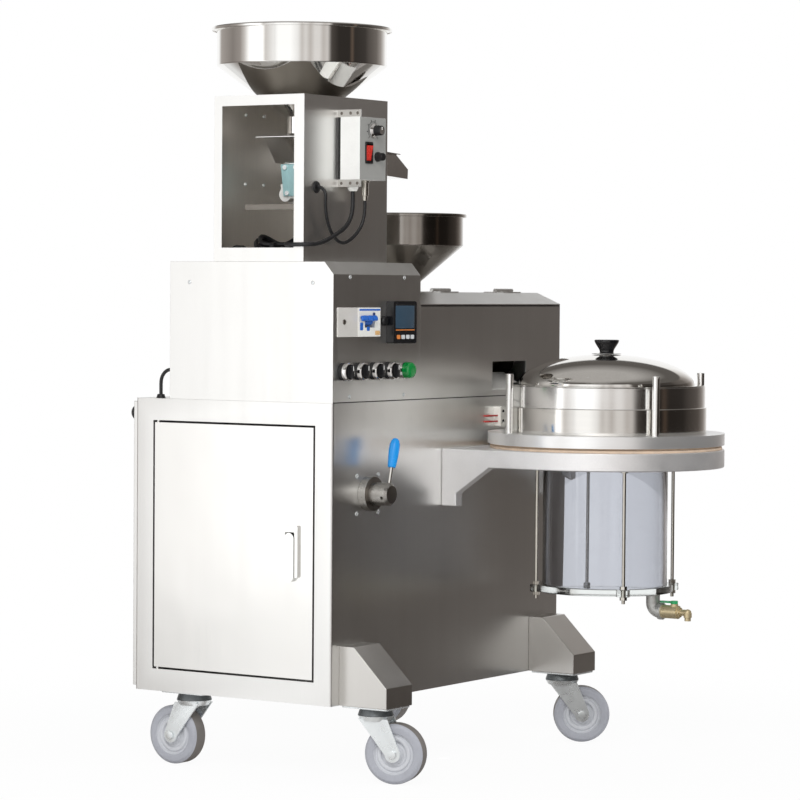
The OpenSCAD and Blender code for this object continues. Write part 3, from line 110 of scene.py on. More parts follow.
world = bpy.data.worlds.new("studio")
bpy.context.scene.world = world
world.use_nodes = True
tree = world.node_tree
tree.nodes.clear()
level = add(tree, "ShaderNodeMapRange", {"Value": seen_by(tree), "To Min": 0.62, "To Max": 1.0})
glow = add(tree, "ShaderNodeBackground", {"Color": (1, 1, 1, 1), "Strength": level.outputs[0]})
add(tree, "ShaderNodeOutputWorld", {"Surface": glow.outputs[0]})


def grid_faces(rows, columns, wrap_rows=False, wrap_columns=False):
    """Quads of a grid of points numbered row by row, joined up across its ends where it wraps."""
    r = np.arange(rows if wrap_rows else rows - 1)[:, None]
    c = np.arange(columns if wrap_columns else columns - 1)[None, :]
    r2 = (r + 1) % rows
    c2 = (c + 1) % columns
    quads = np.stack([r * columns + c, r * columns + c2, r2 * columns + c2, r2 * columns + c], -1)
    return quads.reshape(-1, 4)


def stage_piece(name, points, faces, material):
    """Mesh that belongs to the picture and not to the part, from points in metres."""
    mesh = bpy.data.meshes.new(name)
    mesh.from_pydata(points.tolist(), [], faces.tolist())
    mesh.materials.append(material)
    thing = bpy.data.objects.new(name, mesh)
    bpy.context.collection.objects.link(thing)
    return thing


# Studio cards: steel takes its look from what stands round it. A ring of pale and dark cards, seen only in
# mirrors and through clear plastic, stands where the steel shows pale and dark, and the floor fades with it.
def middle(node, digits=1):
    """Middle of a CAD node's box in millimetres off the cabinet's corner. It is rounded, because the flat
    facets of a round node put its box off by some hundredths."""
    low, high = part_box(node)
    return np.round(((np.array(low) + np.array(high)) / 2 - zero) * 1000, digits)


hopper_at = middle("top_hopper") * (1, 1, 0)


def cards(tree):
    """Brightness of the studio by bearing from the top hopper, a ramp over the full turn in degrees.
    Dark cards are a little warm, by 0.22 of what they lack of white, and one narrow card is copper."""
    spot = add(tree, "ShaderNodeTexCoord")
    shift = add(tree, "ShaderNodeMapping", {"Vector": spot.outputs["Object"],
                                            "Location": (-place(hopper_at)).tolist()})
    bearing = add(tree, "ShaderNodeTexGradient", {"Vector": shift.outputs[0]}, gradient_type="RADIAL")
    ramp = add(tree, "ShaderNodeValToRGB", {"Fac": bearing.outputs["Fac"]})
    levels = [(-180, 1.0), (-176, 1.12), (-160, 1.12), (-150, 0.93), (-145, 0.66), (-140, 0.8), (-134, 0.6),
              (-128, 0.8), (-122, 0.8), (-117, 0.6), (-111, 0.7), (-106, 0.11), (-95, 0.05), (-79, 0.045),
              (-75, 0.15), (-71, 0.05), (-52, 0.06), (-45, 0.1), (-26, 0.16), (-13, 0.35), (2, 0.8), (8, 1.0),
              (66, 1.0), (77, 0.4), (110, 0.26), (125, 0.36), (133, 0.65), (140, 1.1), (149, 1.45),
              (160, 1.45), (166, 0.7), (177, 0.94)]
    copper = -75
    stops = ramp.color_ramp.elements
    while len(stops) < len(levels):
        stops.new(0.5)
    for stop, (turn, light) in zip(stops, levels):
        stop.position = turn / 360 + 0.5
        warm = 0.4 if turn == copper else 0.22 * max(0, 1 - light)
        stop.color = (light, light * (1 - 0.6 * warm), light * (1 - warm), 1)
    return spot, ramp.outputs[0]


ring_cards = bpy.data.materials.new("studio_cards")
ring_cards.use_nodes = True
tree = ring_cards.node_tree
tree.nodes.clear()
spot, card_light = cards(tree)
split = add(tree, "ShaderNodeSeparateXYZ", {0: spot.outputs["Object"]})
# Below the top hopper the dark cards are deeper.
steep = add(tree, "ShaderNodeMapRange", {"Value": split.outputs["Z"], "From Min": 1.0, "From Max": 1.25,
                                         "To Min": 1.3, "To Max": 1.0})
deep = add(tree, "ShaderNodeGamma", {"Color": card_light, "Gamma": steep.outputs[0]})
# Above them all hangs a dim, slightly warm ceiling, palest in its middle.
above = add(tree, "ShaderNodeMapRange", {"Value": split.outputs["Z"], "From Min": 1.95, "From Max": 2.15},
            interpolation_type="SMOOTHSTEP")
inner = add(tree, "ShaderNodeMapRange", {"Value": split.outputs["Z"], "From Min": 2.33, "From Max": 2.5})
ceiling_edge = (0.115, 0.106, 0.098, 1)
ceiling_middle = (0.44, 0.425, 0.41, 1)
dim = add(tree, "ShaderNodeMix", {0: inner.outputs[0], 6: ceiling_edge, 7: ceiling_middle}, data_type="RGBA")
whole = add(tree, "ShaderNodeMix", {0: above.outputs[0], 6: deep.outputs[0], 7: dim.outputs[2]},
            data_type="RGBA")
shine = add(tree, "ShaderNodeEmission", {"Color": whole.outputs[2], "Strength": 1.0})
add(tree, "ShaderNodeOutputMaterial", {"Surface": shine.outputs[0]})
stage_steps = 96
angle = np.linspace(0, 2 * np.pi, stage_steps, endpoint=False)
ring = np.concatenate([np.stack([r * np.cos(angle), r * np.sin(angle), 0 * angle + z], -1)
                       for r, z in ((3, -0.4), (3, 2.2), (0.02, 2.7))]) + place(hopper_at)
stage_faces = grid_faces(3, stage_steps, wrap_columns=True)
walls = stage_piece("studio_cards", ring, stage_faces, ring_cards)
walls.visible_camera = False
walls.visible_diffuse = False
walls.visible_shadow = False

# Floor: a white sweep, drawn as a wide disc that keeps a soft shadow near the wheels.
# Away from them it glows as white as the background, so that no edge shows.
sweep = bpy.data.materials.new("white_sweep")
sweep.use_nodes = True
tree = sweep.node_tree
tree.nodes.clear()
spot, card_light = cards(tree)
reach = add(tree, "ShaderNodeVectorMath", {0: spot.outputs["Object"]}, operation="LENGTH")
far = add(tree, "ShaderNodeMapRange",
          {"Value": reach.outputs["Value"], "From Min": 0.6, "From Max": 1.5, "To Min": 0.95},
          interpolation_type="SMOOTHSTEP")
share = add(tree, "ShaderNodeMath", {0: far.outputs[0], 1: seen_by(tree)}, operation="MULTIPLY")
chalk = add(tree, "ShaderNodeBsdfDiffuse", {"Color": (0.9, 0.9, 0.9, 1)})
shine = add(tree, "ShaderNodeEmission", {"Strength": 1.0})
blend = add(tree, "ShaderNodeMixShader", {0: share.outputs[0], 1: chalk.outputs[0], 2: shine.outputs[0]})
path = add(tree, "ShaderNodeLightPath")
faded = add(tree, "ShaderNodeEmission", {"Color": card_light, "Strength": 0.8})
floor_mix = add(tree, "ShaderNodeMixShader",
                {0: path.outputs["Is Glossy Ray"], 1: blend.outputs[0], 2: faded.outputs[0]})
add(tree, "ShaderNodeOutputMaterial", {"Surface": floor_mix.outputs[0]})
disc = np.stack([np.cos(angle), np.sin(angle), 0 * angle], -1)
disc = np.concatenate([disc * radius for radius in (0.01, 1.0, 12.0)])
stage_piece("floor", disc, stage_faces, sweep)


def lamp(name, at, aim, size, bright, mirrored=True):
    """Square lamp that gives a white card at its aim that share of full white: pi squared times the
    squared distance, in watts. Mirrors and clear plastic show it only where mirrored is set."""
    data = bpy.data.lights.new(name, "AREA")
    data.size = size
    way = place(at) - place(aim)
    data.energy = bright * math.pi ** 2 * float(way @ way)
    thing = bpy.data.objects.new(name, data)
    back = way / np.linalg.norm(way)
    side = np.cross(plumb, back)
    side /= np.linalg.norm(side)
    turn = np.eye(4)
    turn[:3, :3] = np.stack([side, np.cross(back, side), back], 1)
    turn[:3, 3] = place(at)
    thing.matrix_world = Matrix(turn.tolist())
    thing.visible_glossy = mirrored
    thing.visible_transmission = mirrored
    bpy.context.collection.objects.link(thing)


lamp("window", (-2600, -1300, 2700), (350, 100, 600), 1.8, 0.42)
lamp("bounce", (1500, -3200, 1500), (350, 0, 500), 2.2, 0.16, mirrored=False)


# Cords: black round PVC leads. The feeder's own lead comes out of its gland, drapes over the box
# and goes in at the tower's window, where the spare length is wound in a tied hank with its plug.
swell_width = 110


def finish(name, colour, rough, grain, relief=0.0, stretch=(1, 1, 1), shade=0.08, patchy=0.25, sockets=None,
           wave=0.0):
    """Principled material. Noise of that grain in millimetres, drawn out by stretch, and a cloud twelve
    times as wide vary its colour by shade and its roughness by patchy, and lift a bump of relief mm. Sheet
    also swells by wave mm over swell_width, and brush marks that run up and down blur its mirror sideways."""
    material = bpy.data.materials.new(name)
    material.use_nodes = True
    tree = material.node_tree
    shader = tree.nodes["Principled BSDF"]
    for socket, value in (sockets or {}).items():
        shader.inputs[socket].default_value = value
    spot = add(tree, "ShaderNodeTexCoord")
    spread = add(tree, "ShaderNodeMapping", {"Vector": spot.outputs["Object"],
                                             "Scale": [1000 / (grain * s) for s in stretch]})
    fine = add(tree, "ShaderNodeTexNoise", {"Vector": spread.outputs[0], "Scale": 1.0, "Detail": 3.0})
    cloud = add(tree, "ShaderNodeTexNoise", {"Vector": spread.outputs[0], "Scale": 1 / 12, "Detail": 2.0})
    both = add(tree, "ShaderNodeMath", {0: fine.outputs[0], 1: cloud.outputs[0]}, operation="ADD")
    base = np.array(hexed(colour)[:3])
    low, high = [(*np.clip(base * k, 0, 0.97).tolist(), 1) for k in (1 - shade, 1 + shade)]
    noise = {"Value": both.outputs[0], "From Min": 0.7, "From Max": 1.3}
    amount = add(tree, "ShaderNodeMapRange", noise)
    tone = add(tree, "ShaderNodeMix", {0: amount.outputs[0], 6: low, 7: high}, data_type="RGBA")
    tree.links.new(tone.outputs[2], shader.inputs["Base Color"])
    wear = add(tree, "ShaderNodeMapRange",
               {**noise, "To Min": rough * (1 - patchy), "To Max": min(1, rough * (1 + patchy))})
    tree.links.new(wear.outputs[0], shader.inputs["Roughness"])
    if relief:
        bump = add(tree, "ShaderNodeBump",
                   {"Height": fine.outputs[0], "Distance": relief / 1000, "Strength": 1.0})
        tree.links.new(bump.outputs[0], shader.inputs["Normal"])
    if wave:
        broad = add(tree, "ShaderNodeTexNoise",
                    {"Vector": spot.outputs["Object"], "Scale": 1000 / swell_width, "Detail": 1.0})
        swell = add(tree, "ShaderNodeBump",
                    {"Height": broad.outputs[0], "Distance": wave / 1000, "Strength": 1.0})
        tree.links.new(swell.outputs[0], shader.inputs["Normal"])
        face = add(tree, "ShaderNodeNewGeometry")
        level = add(tree, "ShaderNodeVectorMath", {0: face.outputs["Normal"], 1: (0, 0, 1)},
                    operation="CROSS_PRODUCT")
        along = add(tree, "ShaderNodeVectorMath", {0: level.outputs[0], 1: (0.001, 0, 0)}, operation="ADD")
        tree.links.new(along.outputs[0], shader.inputs["Tangent"])
    return material


metal = {"Metallic": 1.0}
# Soft PVC sheath: near black, satin, with a faint orange peel from the extruder.
sheath = finish("cord_pvc", "#1d1d1f", 0.42, 1.2, 0.02)
# Moulded black plastic: satin and finely grained.
moulded = finish("moulded_black", "#19191b", 0.38, 0.9, 0.02)
# Nickel plate: bright and slightly warm.
nickel = finish("nickel_plate", "#d8d4cb", 0.16, 2.0, sockets=metal)


def smooth(points, count):
    """Catmull-Rom curve: each span is the cubic that leaves a point along its neighbours' chord."""
    p = np.asarray(points, float)
    p = np.vstack([2 * p[0] - p[1], p, 2 * p[-1] - p[-2]])
    t = np.linspace(0, len(p) - 3, count)
    i = np.minimum(t.astype(int), len(p) - 4)
    f = (t - i)[:, None]
    a, b, c, d = p[i], p[i + 1], p[i + 2], p[i + 3]
    return (2 * b + (c - a) * f + (2 * a - 5 * b + 4 * c - d) * f ** 2 + (3 * b - a - 3 * c + d) * f ** 3) / 2


def lead(name, points, radius, material, nodes, with_pieces=(), **facts):
    """Round cord along points in millimetres, as long as those points measure."""
    curve = bpy.data.curves.new(name, "CURVE")
    curve.dimensions = "3D"
    curve.bevel_depth = radius / 1000
    curve.bevel_resolution = 5
    curve.use_fill_caps = True
    line = curve.splines.new("POLY")
    line.points.add(len(points) - 1)
    line.points.foreach_set("co", np.c_[place(points), np.ones(len(points))].ravel())
    line.use_smooth = True
    curve.materials.append(material)
    thing = bpy.data.objects.new(name, curve)
    bpy.context.collection.objects.link(thing)
    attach(thing, "frame")
    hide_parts(*nodes)


sharp_angle = 35


def piece(name, points, faces, materials, body, nodes=(), pick=None, sharp=sharp_angle):
    """Puts a mesh in the scene from points in millimetres, welded and with its faces turned outwards."""
    mesh = bpy.data.meshes.new(name)
    mesh.from_pydata(place(points).tolist(), [], [list(f) for f in faces])
    solid = bmesh.new()
    solid.from_mesh(mesh)
    bmesh.ops.remove_doubles(solid, verts=solid.verts, dist=2e-6)
    bmesh.ops.dissolve_degenerate(solid, edges=solid.edges, dist=1e-6)
    bmesh.ops.recalc_face_normals(solid, faces=solid.faces)
    solid.to_mesh(mesh)
    solid.free()
    return dress(name, mesh, materials, body, nodes, pick, sharp)


def dress(name, mesh, materials, body, nodes, pick, sharp):
    """Shades a mesh smooth below the sharp angle, gives each face the material whose number pick works out
    from the middles in millimetres and the normals, and rides it on its body in place of the nodes."""
    for material in materials:
        mesh.materials.append(material)
    mesh.shade_smooth()
    mesh.set_sharp_from_angle(angle=math.radians(sharp))
    if pick:
        centre = np.empty(3 * len(mesh.polygons))
        normal = np.empty(3 * len(mesh.polygons))
        mesh.polygons.foreach_get("center", centre)
        mesh.polygons.foreach_get("normal", normal)
        chosen = pick((centre.reshape(-1, 3) - zero) * 1000, normal.reshape(-1, 3))
        mesh.polygons.foreach_set("material_index", np.asarray(chosen).astype(np.int32))
    thing = bpy.data.objects.new(name, mesh)
    bpy.context.collection.objects.link(thing)
    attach(thing, body)
    if nodes:
        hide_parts(*nodes)
    return thing


bodies = {node: body for body, nodes in frame["record"]["behaviour"]["bodies"].items() for node in nodes}


def eased(node, radius, materials, pick=None):
    """Copy of a CAD node with its sharp edges rounded, as folded sheet, castings and mouldings are:
    its triangles are welded, flat ones joined, and a bevel of that many millimetres laid on."""
    mesh = bpy.data.meshes.new(node + "_piece")
    solid = bmesh.new()
    solid.from_mesh(frame["nodes"][node].data)
    bmesh.ops.remove_doubles(solid, verts=solid.verts, dist=2e-5)
    bmesh.ops.dissolve_limit(solid, angle_limit=math.radians(0.6), verts=solid.verts, edges=solid.edges)
    solid.to_mesh(mesh)
    solid.free()
    thing = dress(node + "_piece", mesh, materials, bodies[node], [node], pick, sharp_angle)
    bevel = thing.modifiers.new("eased_edges", "BEVEL")
    bevel.width = radius / 1000
    bevel.segments = 3
    bevel.limit_method = "ANGLE"
    bevel.angle_limit = math.radians(sharp_angle)
    bevel.harden_normals = True
    return thing


pins_x = 24.2
plug = eased("feeder_plug", 0.8, [moulded, nickel], lambda c, n: c[:, 0] < pins_x)
# Hank: a turn is two straight runs of a fifth of it each, and two round bends. A layer holds a turn and a
# half and winds one way, the next one back. The tie draws the runs in at their waist, and the bends bow up.
hank_at, hank_r, hank_half, hank_step, hank_lift, hank_waist = (65, 148.9), 22, 16, 9.3, 7.6, 0.12
hank_floor, hank_top, hank_turns, layer_turns, run = 860.8, 3, 5.35, 1.5, 0.2
bend_spread, bend_lift = 0.34, 14
turns = np.linspace(hank_turns, 0, 190)
layer = np.floor(turns / layer_turns)
part = turns - layer_turns * layer
spiral = np.minimum(part, 1)
bow = hank_r + hank_step * np.where(layer % 2 == 0, 1 - spiral, spiral)
storey = np.minimum(layer + np.maximum(0, 2 * part - 2), hank_top)
way = (turns + 0.5) % 1
run_1 = hank_half * (2 * way / run - 1)
run_2 = hank_half * (1 - 2 * (way - 0.5) / run)
bend_1 = np.radians(180 * (way - run) / (0.5 - run) - 90)
bend_2 = np.radians(180 * (way - 0.5 - run) / (0.5 - run) + 90)
drawn_1 = bow * (1 - hank_waist * np.cos(np.pi / 2 * run_1 / hank_half) ** 2)
drawn_2 = bow * (1 - hank_waist * np.cos(np.pi / 2 * run_2 / hank_half) ** 2)
legs = [way < run, way < 0.5, way < 0.5 + run]
lengthwise = np.select(legs, [run_1, hank_half + bow * np.cos(bend_1), run_2],
                       -hank_half + bow * np.cos(bend_2))
crosswise = np.select(legs, [-drawn_1, bow * np.sin(bend_1), drawn_2], bow * np.sin(bend_2))
splay = (np.maximum(0, np.abs(lengthwise) - hank_half) / (hank_r + hank_step)) ** 2
hank_z = hank_floor + hank_lift * storey * (1 + bend_spread * splay) + bend_lift * splay
hank = np.stack([hank_at[0] + crosswise, hank_at[1] + lengthwise, hank_z], -1)
# Tail: a quarter circle that dips on its way from the last turn into the plug.
plug_at, tail_r, tail_dip = (68.3, 214.9, 869.8), 28, 4.5
quarter = np.radians(np.linspace(90, 0, 16))
tail = np.stack([plug_at[0] + tail_r * np.sin(quarter), plug_at[1] - tail_r * (1 - np.cos(quarter)),
                 plug_at[2] - tail_dip * (1 - np.cos(2 * quarter))], -1)
feeder_route = [(113, 40, 973), (113, 40, 960), (112.5, 40, 946), (109, 40, 933), (101, 40, 921),
                (88, 40, 911), (71, 41, 902.5), (53, 43, 894.5), (36, 45.5, 888), (19, 47, 884.5),
                (5, 50.8, 883.5), (-5, 61, 883), (-9, 75, 883), (-5, 89, 883.2), (5, 99.2, 883.8),
                (19, 103, 886), (32, 103, 891), (46, 103, 897.5), (58, 103, 902.3)]
feeder_line = np.concatenate([smooth(feeder_route, 120), hank, tail, [(61.3, 214.9, 869.8)]])
# Hank tie: a flat strip of black plastic pulled round the waist of the turns, a squarish superellipse.
tie_steps, tie_half, tie_power = 48, (31, 15.2), 0.35
side = np.linspace(0, 2 * np.pi, tie_steps, endpoint=False)
loop_x = tie_half[0] * np.sign(np.cos(side)) * np.abs(np.cos(side)) ** tie_power
loop_z = tie_half[1] * np.sign(np.sin(side)) * np.abs(np.sin(side)) ** tie_power
loops = [np.stack([hank_at[0] + k * loop_x, 0 * side + y, 872.4 + k * loop_z], -1)
         for k, y in ((1, 145), (1.02, 145), (1.02, 152.5), (1, 152.5))]
tie = piece("hank_tie", np.concatenate(loops), grid_faces(len(loops), tie_steps, True, True), [moulded],
            "frame")
lead("feeder_lead", feeder_line, 3.5, sheath, ["feeder_cord", "feeder_hank"], [plug, tie],
     far_end="plug", stiffness="medium", lay="coiled")
vibrator_route = [(146, 38, 958), (146, 38, 946), (144.5, 39, 930), (139, 41.5, 914), (128, 44.5, 901),
                  (114, 47, 891.5), (99, 48.8, 887), (84, 49.6, 890), (69, 49.8, 900), (57, 49.3, 914),
                  (48, 48, 931), (42, 46, 949), (40, 44.3, 963), (40, 45.3, 968.9), (40, 48.4, 973.6),
                  (40, 53.2, 976.9), (40, 58, 978), (40, 60, 978)]
lead("vibrator_line", smooth(vibrator_route, 90), 2.75, sheath, ["vibrator_lead"],
     far_end="object", stiffness="medium", lay="hanging")
rear_route = [(20, 344, 672), (20, 348, 672), (20, 354, 670.6), (20, 360, 667), (20, 364.6, 661.5),
              (20, 367.2, 655), (20, 368, 648), (20, 368, 640), (20, 368, 630)]
lead("rear_line", smooth(rear_route, 50), 3, sheath, ["rear_lead"],
     far_end="object", stiffness="medium", lay="hanging")

# Cabinet: stainless sheet, folded and welded, its faces brushed upright. The rear is closed by a
# shallow pressed cover with two rows of vents.
upright = (1, 1, 60)
smeared = {"Metallic": 1.0, "Anisotropic": 0.6}
# Brushed stainless: a soft mirror, smeared across its upright brush marks and wavy as thin sheet is.
# The marks, 0.1 mm on the real sheet, are drawn 1.5 mm wide.
brushed = finish("brushed_stainless", "#f5f5f3", 0.31, 1.5, stretch=upright, shade=0.012, patchy=0.08,
                 sockets=smeared, wave=0.5)
eased("cabinet_shell", 1.4, [brushed])
eased("rear_cover", 1.2, [brushed])
# Outriggers: the same sheet, darkened as painted shade.
outrigger_shaded_sheet = finish("outrigger_stainless_painted_shade", "#dedcd8", 0.31, 1.5, stretch=upright, shade=0.012,
                         patchy=0.08, sockets=smeared, wave=0.5)
eased("front_outriggers", 1.2, [outrigger_shaded_sheet])

# Casters: pressed and zinc plated forks on ball races, with moulded wheels on bolts. The mounting
# plates are bolted up under the cabinet and the outriggers.
# Bright zinc plate: pale, a little blue, with a faint cloudy bloom.
zinc = finish("bright_zinc", "#eef2f3", 0.28, 14.0, shade=0.03, patchy=0.15, sockets={"Metallic": 0.75})
# Race: greased steel. Wheels: blue-grey rubber, worn brown on its tread, round a pale moulded hub.
race = finish("race_steel", "#6d7173", 0.4, 2.0, shade=0.05, sockets={"Metallic": 0.7})
tyre = finish("grey_tyre", "#aeb0b8", 0.5, 3.0, 0.02, shade=0.05)
tread = finish("worn_tread", "#7f7a76", 0.6, 3.0, 0.05, shade=0.08)
hub_grey = finish("pale_hub", "#cfd1d6", 0.40, 3.0, 0.03, shade=0.05)


def filleted(profile, radius, closed=False, steps=5):
    """Profile with each corner replaced by a parabola that leaves its sides radius before the corner,
    or half a side before it where the side is short."""
    p = np.asarray(profile, float)
    before = np.roll(p, 1, 0) - p
    after = np.roll(p, -1, 0) - p
    size_b = np.linalg.norm(before, axis=1, keepdims=True)
    size_a = np.linalg.norm(after, axis=1, keepdims=True)
    a = p + before / size_b * np.minimum(radius, size_b * 0.45)
    b = p + after / size_a * np.minimum(radius, size_a * 0.45)
    t = np.linspace(0, 1, steps)[None, :, None]
    curve = (1 - t) ** 2 * a[:, None] + 2 * t * (1 - t) * p[:, None] + t ** 2 * b[:, None]
    if closed:
        return curve.reshape(-1, 2)
    return np.concatenate([p[:1], curve[1:-1].reshape(-1, 2), p[-1:]])


def turned(name, profile, at, materials, body, nodes=(), axis=(0, 0, 1), steps=96, closed=False,
           pick=None, sharp=sharp_angle):
    """Lathe piece: the profile of (radius, height) pairs goes round an axis through a point."""
    profile = np.asarray(profile, float)
    axis = np.asarray(axis, float) / np.linalg.norm(axis)
    across = np.cross((0, 1, 0) if abs(axis[1]) < 0.9 else (0, 0, 1), axis)
    across /= np.linalg.norm(across)
    angle = np.linspace(0, 2 * np.pi, steps, endpoint=False)
    spoke = np.cos(angle)[:, None] * across + np.sin(angle)[:, None] * np.cross(axis, across)
    points = np.asarray(at) + profile[None, :, :1] * spoke[:, None] + profile[None, :, 1:] * axis
    faces = grid_faces(steps, len(profile), True, closed)
    return piece(name, points.reshape(-1, 3), faces, materials, body, nodes, pick, sharp)


race_foot, race_top = 110, 123
eased("caster_plates", 0.8, [zinc, race], lambda c, n: (c[:, 2] < race_top) & (c[:, 2] > race_foot))
half_wheel = [(5.4, -16), (13, -16), (15, -12), (17, -9), (21, -9.4), (22.5, -13), (28, -13.4), (29.5, -10),
              (32, -10.4), (34.5, -15.4), (45, -16), (50, -12)]
wheel_profile = filleted(half_wheel + [(r, -h) for r, h in half_wheel[::-1]], 1.6, closed=True)
hub_edge, nut_out = 37, 21.1
# Headings of the four forks in degrees from the cabinet's width, as they stand in the frame.
for k, heading in enumerate((-74, -56, 90, 90), 1):
    fork = "caster_fork_%d" % k
    wheel = "caster_wheel_%d" % k
    eased(fork, 0.9, [zinc])
    axle = np.array([-math.sin(math.radians(heading)), math.cos(math.radians(heading)), 0])
    hub = middle(wheel, digits=6)
    turned(wheel + "_piece", wheel_profile, hub, [hub_grey, tyre, tread], bodies[wheel],
           [wheel], axle, closed=True,
           pick=lambda c, n: np.select([np.linalg.norm(c - hub, axis=1) < hub_edge, np.abs(n @ axle) > 0.5],
                                       [0, 1], 2))
    for side in (-1, 1):
        turned("axle_nut_%d_%s" % (k, "near" if side < 0 else "far"),
               filleted([(0, 4.6), (7.6, 4.6), (7.6, 0), (0, 0)], 0.8), hub + side * nut_out * axle, [zinc],
               bodies[fork], axis=side * axle, steps=6)

# Door: a folded pan of finer brushed sheet that closes the cabinet's left side, on two pivot pins.
# Its swing handle is let into the sheet: a cast case, and a lever that lifts out of it.
# Door sheet: a closer mirror than the cabinet's, and a little darker as painted shade. Satin chrome: soft,
# even and without colour.
door_sheet = finish("door_stainless", "#efeeeb", 0.22, 1.5, stretch=upright, shade=0.02, patchy=0.12,
                    sockets=smeared, wave=0.6)
satin_chrome = finish("satin_chrome", "#eeeeec", 0.2, 3.0, shade=0.02, sockets=metal)
eased("cabinet_door", 1.6, [door_sheet])
eased("door_lock_case", 0.9, [satin_chrome])
eased("door_lock_lever", 1.6, [satin_chrome])

# Lever: a turned bearing bolted to the cabinet's front, a bright hub with three sockets, and a
# steel rod with a dipped blue grip.
# Machined steel: satin where it is turned, and darker on its faced ends, which look to the front. The rod is
# polished.
machined = finish("machined_steel", "#c4c2be", 0.30, 1.5, 0.015, shade=0.06, sockets=metal)
polished = finish("polished_steel", "#eceae6", 0.07, 4.0, 0.002, shade=0.03, sockets=metal)
dark_steel = finish("dark_machined_steel", "#8b857e", 0.34, 1.5, 0.01, shade=0.05, sockets=metal)
# Dipped vinyl: glossy and even.
blue_grip = finish("blue_vinyl", "#1492e2", 0.25, 2.0, 0.01, shade=0.04, sockets={"Coat Weight": 0.3})
eased("lever_bearing", 1.4, [machined, dark_steel], lambda c, n: n[:, 1] < -0.9)
eased("lever_hub", 0.8, [machined, dark_steel], lambda c, n: (n[:, 1] < -0.9) & (c[:, 1] < -30))
lean = math.radians(14)
lever_at, grip_from = (102, -41.3, 472), 45.3
rod_axis = np.array([math.sin(lean), 0, math.cos(lean)])
grip_profile = [(0, 9.6), (2.75, 9.6), (2.75, 45.5), (6.3, 45.2), (7.2, 50), (8.6, 66), (9.0, 76), (8.4, 85),
                (6.6, 91), (3.6, 94.4), (0, 95)]
turned("lever_grip_piece", filleted(grip_profile, 1.2), lever_at, [polished, blue_grip],
       bodies["lever_grip"], ["lever_grip"], rod_axis, 48,
       pick=lambda c, n: (c - lever_at) @ rod_axis > grip_from)


# Control box: brushed sheet with a sloped brow, cut out for the panel's fittings.
# Small parts on it are moulded plastic with plated rings.
def slab(name, centre, size, thick, material, body, out="front", corner=2.0, edge=0.5):
    """Rounded slab: a rectangle with round corners, carried outwards and drawn in over its front edge.
    It looks to the front, to the left, or tilted 20 degrees up from the front."""
    right, up, way = {"front": ((1, 0, 0), (0, 0, 1), (0, -1, 0)),
                      "left": ((0, -1, 0), (0, 0, 1), (-1, 0, 0)),
                      "tilted": ((1, 0, 0), (0, 0.342, 0.94), (0, -0.94, 0.342))}[out]
    sides = 6
    quarter = np.linspace(0, np.pi / 2, sides)
    ease = np.linspace(0, np.pi / 2, 4)
    drawn = np.concatenate([[0], edge * (1 - np.cos(ease))])
    height = np.concatenate([[0], thick - edge + edge * np.sin(ease)])
    around = np.concatenate([quarter + k * np.pi / 2 for k in range(4)])
    sign_x = np.repeat([1, -1, -1, 1], sides)
    sign_y = np.repeat([1, 1, -1, -1], sides)
    radius = np.maximum(corner - drawn, 0.05)[:, None]
    u = sign_x * (size[0] / 2 - corner) + radius * np.cos(around)
    v = sign_y * (size[1] / 2 - corner) + radius * np.sin(around)
    points = (np.asarray(centre) + u[..., None] * np.array(right) + v[..., None] * np.array(up)
              + height[:, None, None] * np.array(way))
    count = 4 * sides
    faces = grid_faces(len(height), count, False, True).tolist()
    faces.append(list(range(count - 1, -1, -1)))
    faces.append(list(range((len(height) - 1) * count, len(height) * count)))
    piece(name, points.reshape(-1, 3), faces, [material], body)


def screw(name, at, out, radius, material, body, high=1.6):
    """Pan head with a round dimple: a low dome turned on its seat, its profile in shares of its size."""
    profile = [(0, high * 0.55), (radius * 0.3, high * 0.6), (radius * 0.36, high),
               (radius * 0.7, high * 0.86), (radius, high * 0.3), (radius, 0), (0, 0)]
    turned(name, filleted(profile, 0.4, steps=3), at, [material], body, axis=out, steps=20)


# Blank plate beside the breaker: pale plated sheet, nearly matt.
blank_metal = finish("bright_blank", "#e8e5e0", 0.4, 2.0, shade=0.03, sockets={"Metallic": 0.35})
eased("control_box", 1.2, [brushed, blank_metal], lambda c, n: c[:, 1] < -0.4)
for k, (x, z) in enumerate(((48.3, 830.2), (210.2, 830.2), (48.6, 633.6), (210.2, 633.6)), 1):
    screw("panel_screw_%d" % k, (x, 0, z), (0, -1, 0), 3.5, zinc, "frame")
screw("blank_screw", (29.7, -1.5, 756.5), (0, -1, 0), 4.4, dark_steel, "frame", 2.2)
for k, y in enumerate((41, 293), 1):
    screw("box_screw_%d" % k, (0, y, 820.3), (-1, 0, 0), 3.5, zinc, "frame")
for k, (x, z) in enumerate(((72, 502), (135, 502), (72, 439.4), (135, 439.4)), 1):
    screw("bearing_screw_%d" % k, (x, 0, z), (0, -1, 0), 4.0, zinc, "frame")
# Seam between box and cabinet: a dark line of shadow and sealant.
seam = finish("seam_shadow", "#2a2725", 0.7, 2.0, shade=0.05)
slab("box_seam", (372, 0.1, 624.4), (742, 1.6), 0.25, seam, "frame",
     corner=0.3, edge=0.1)
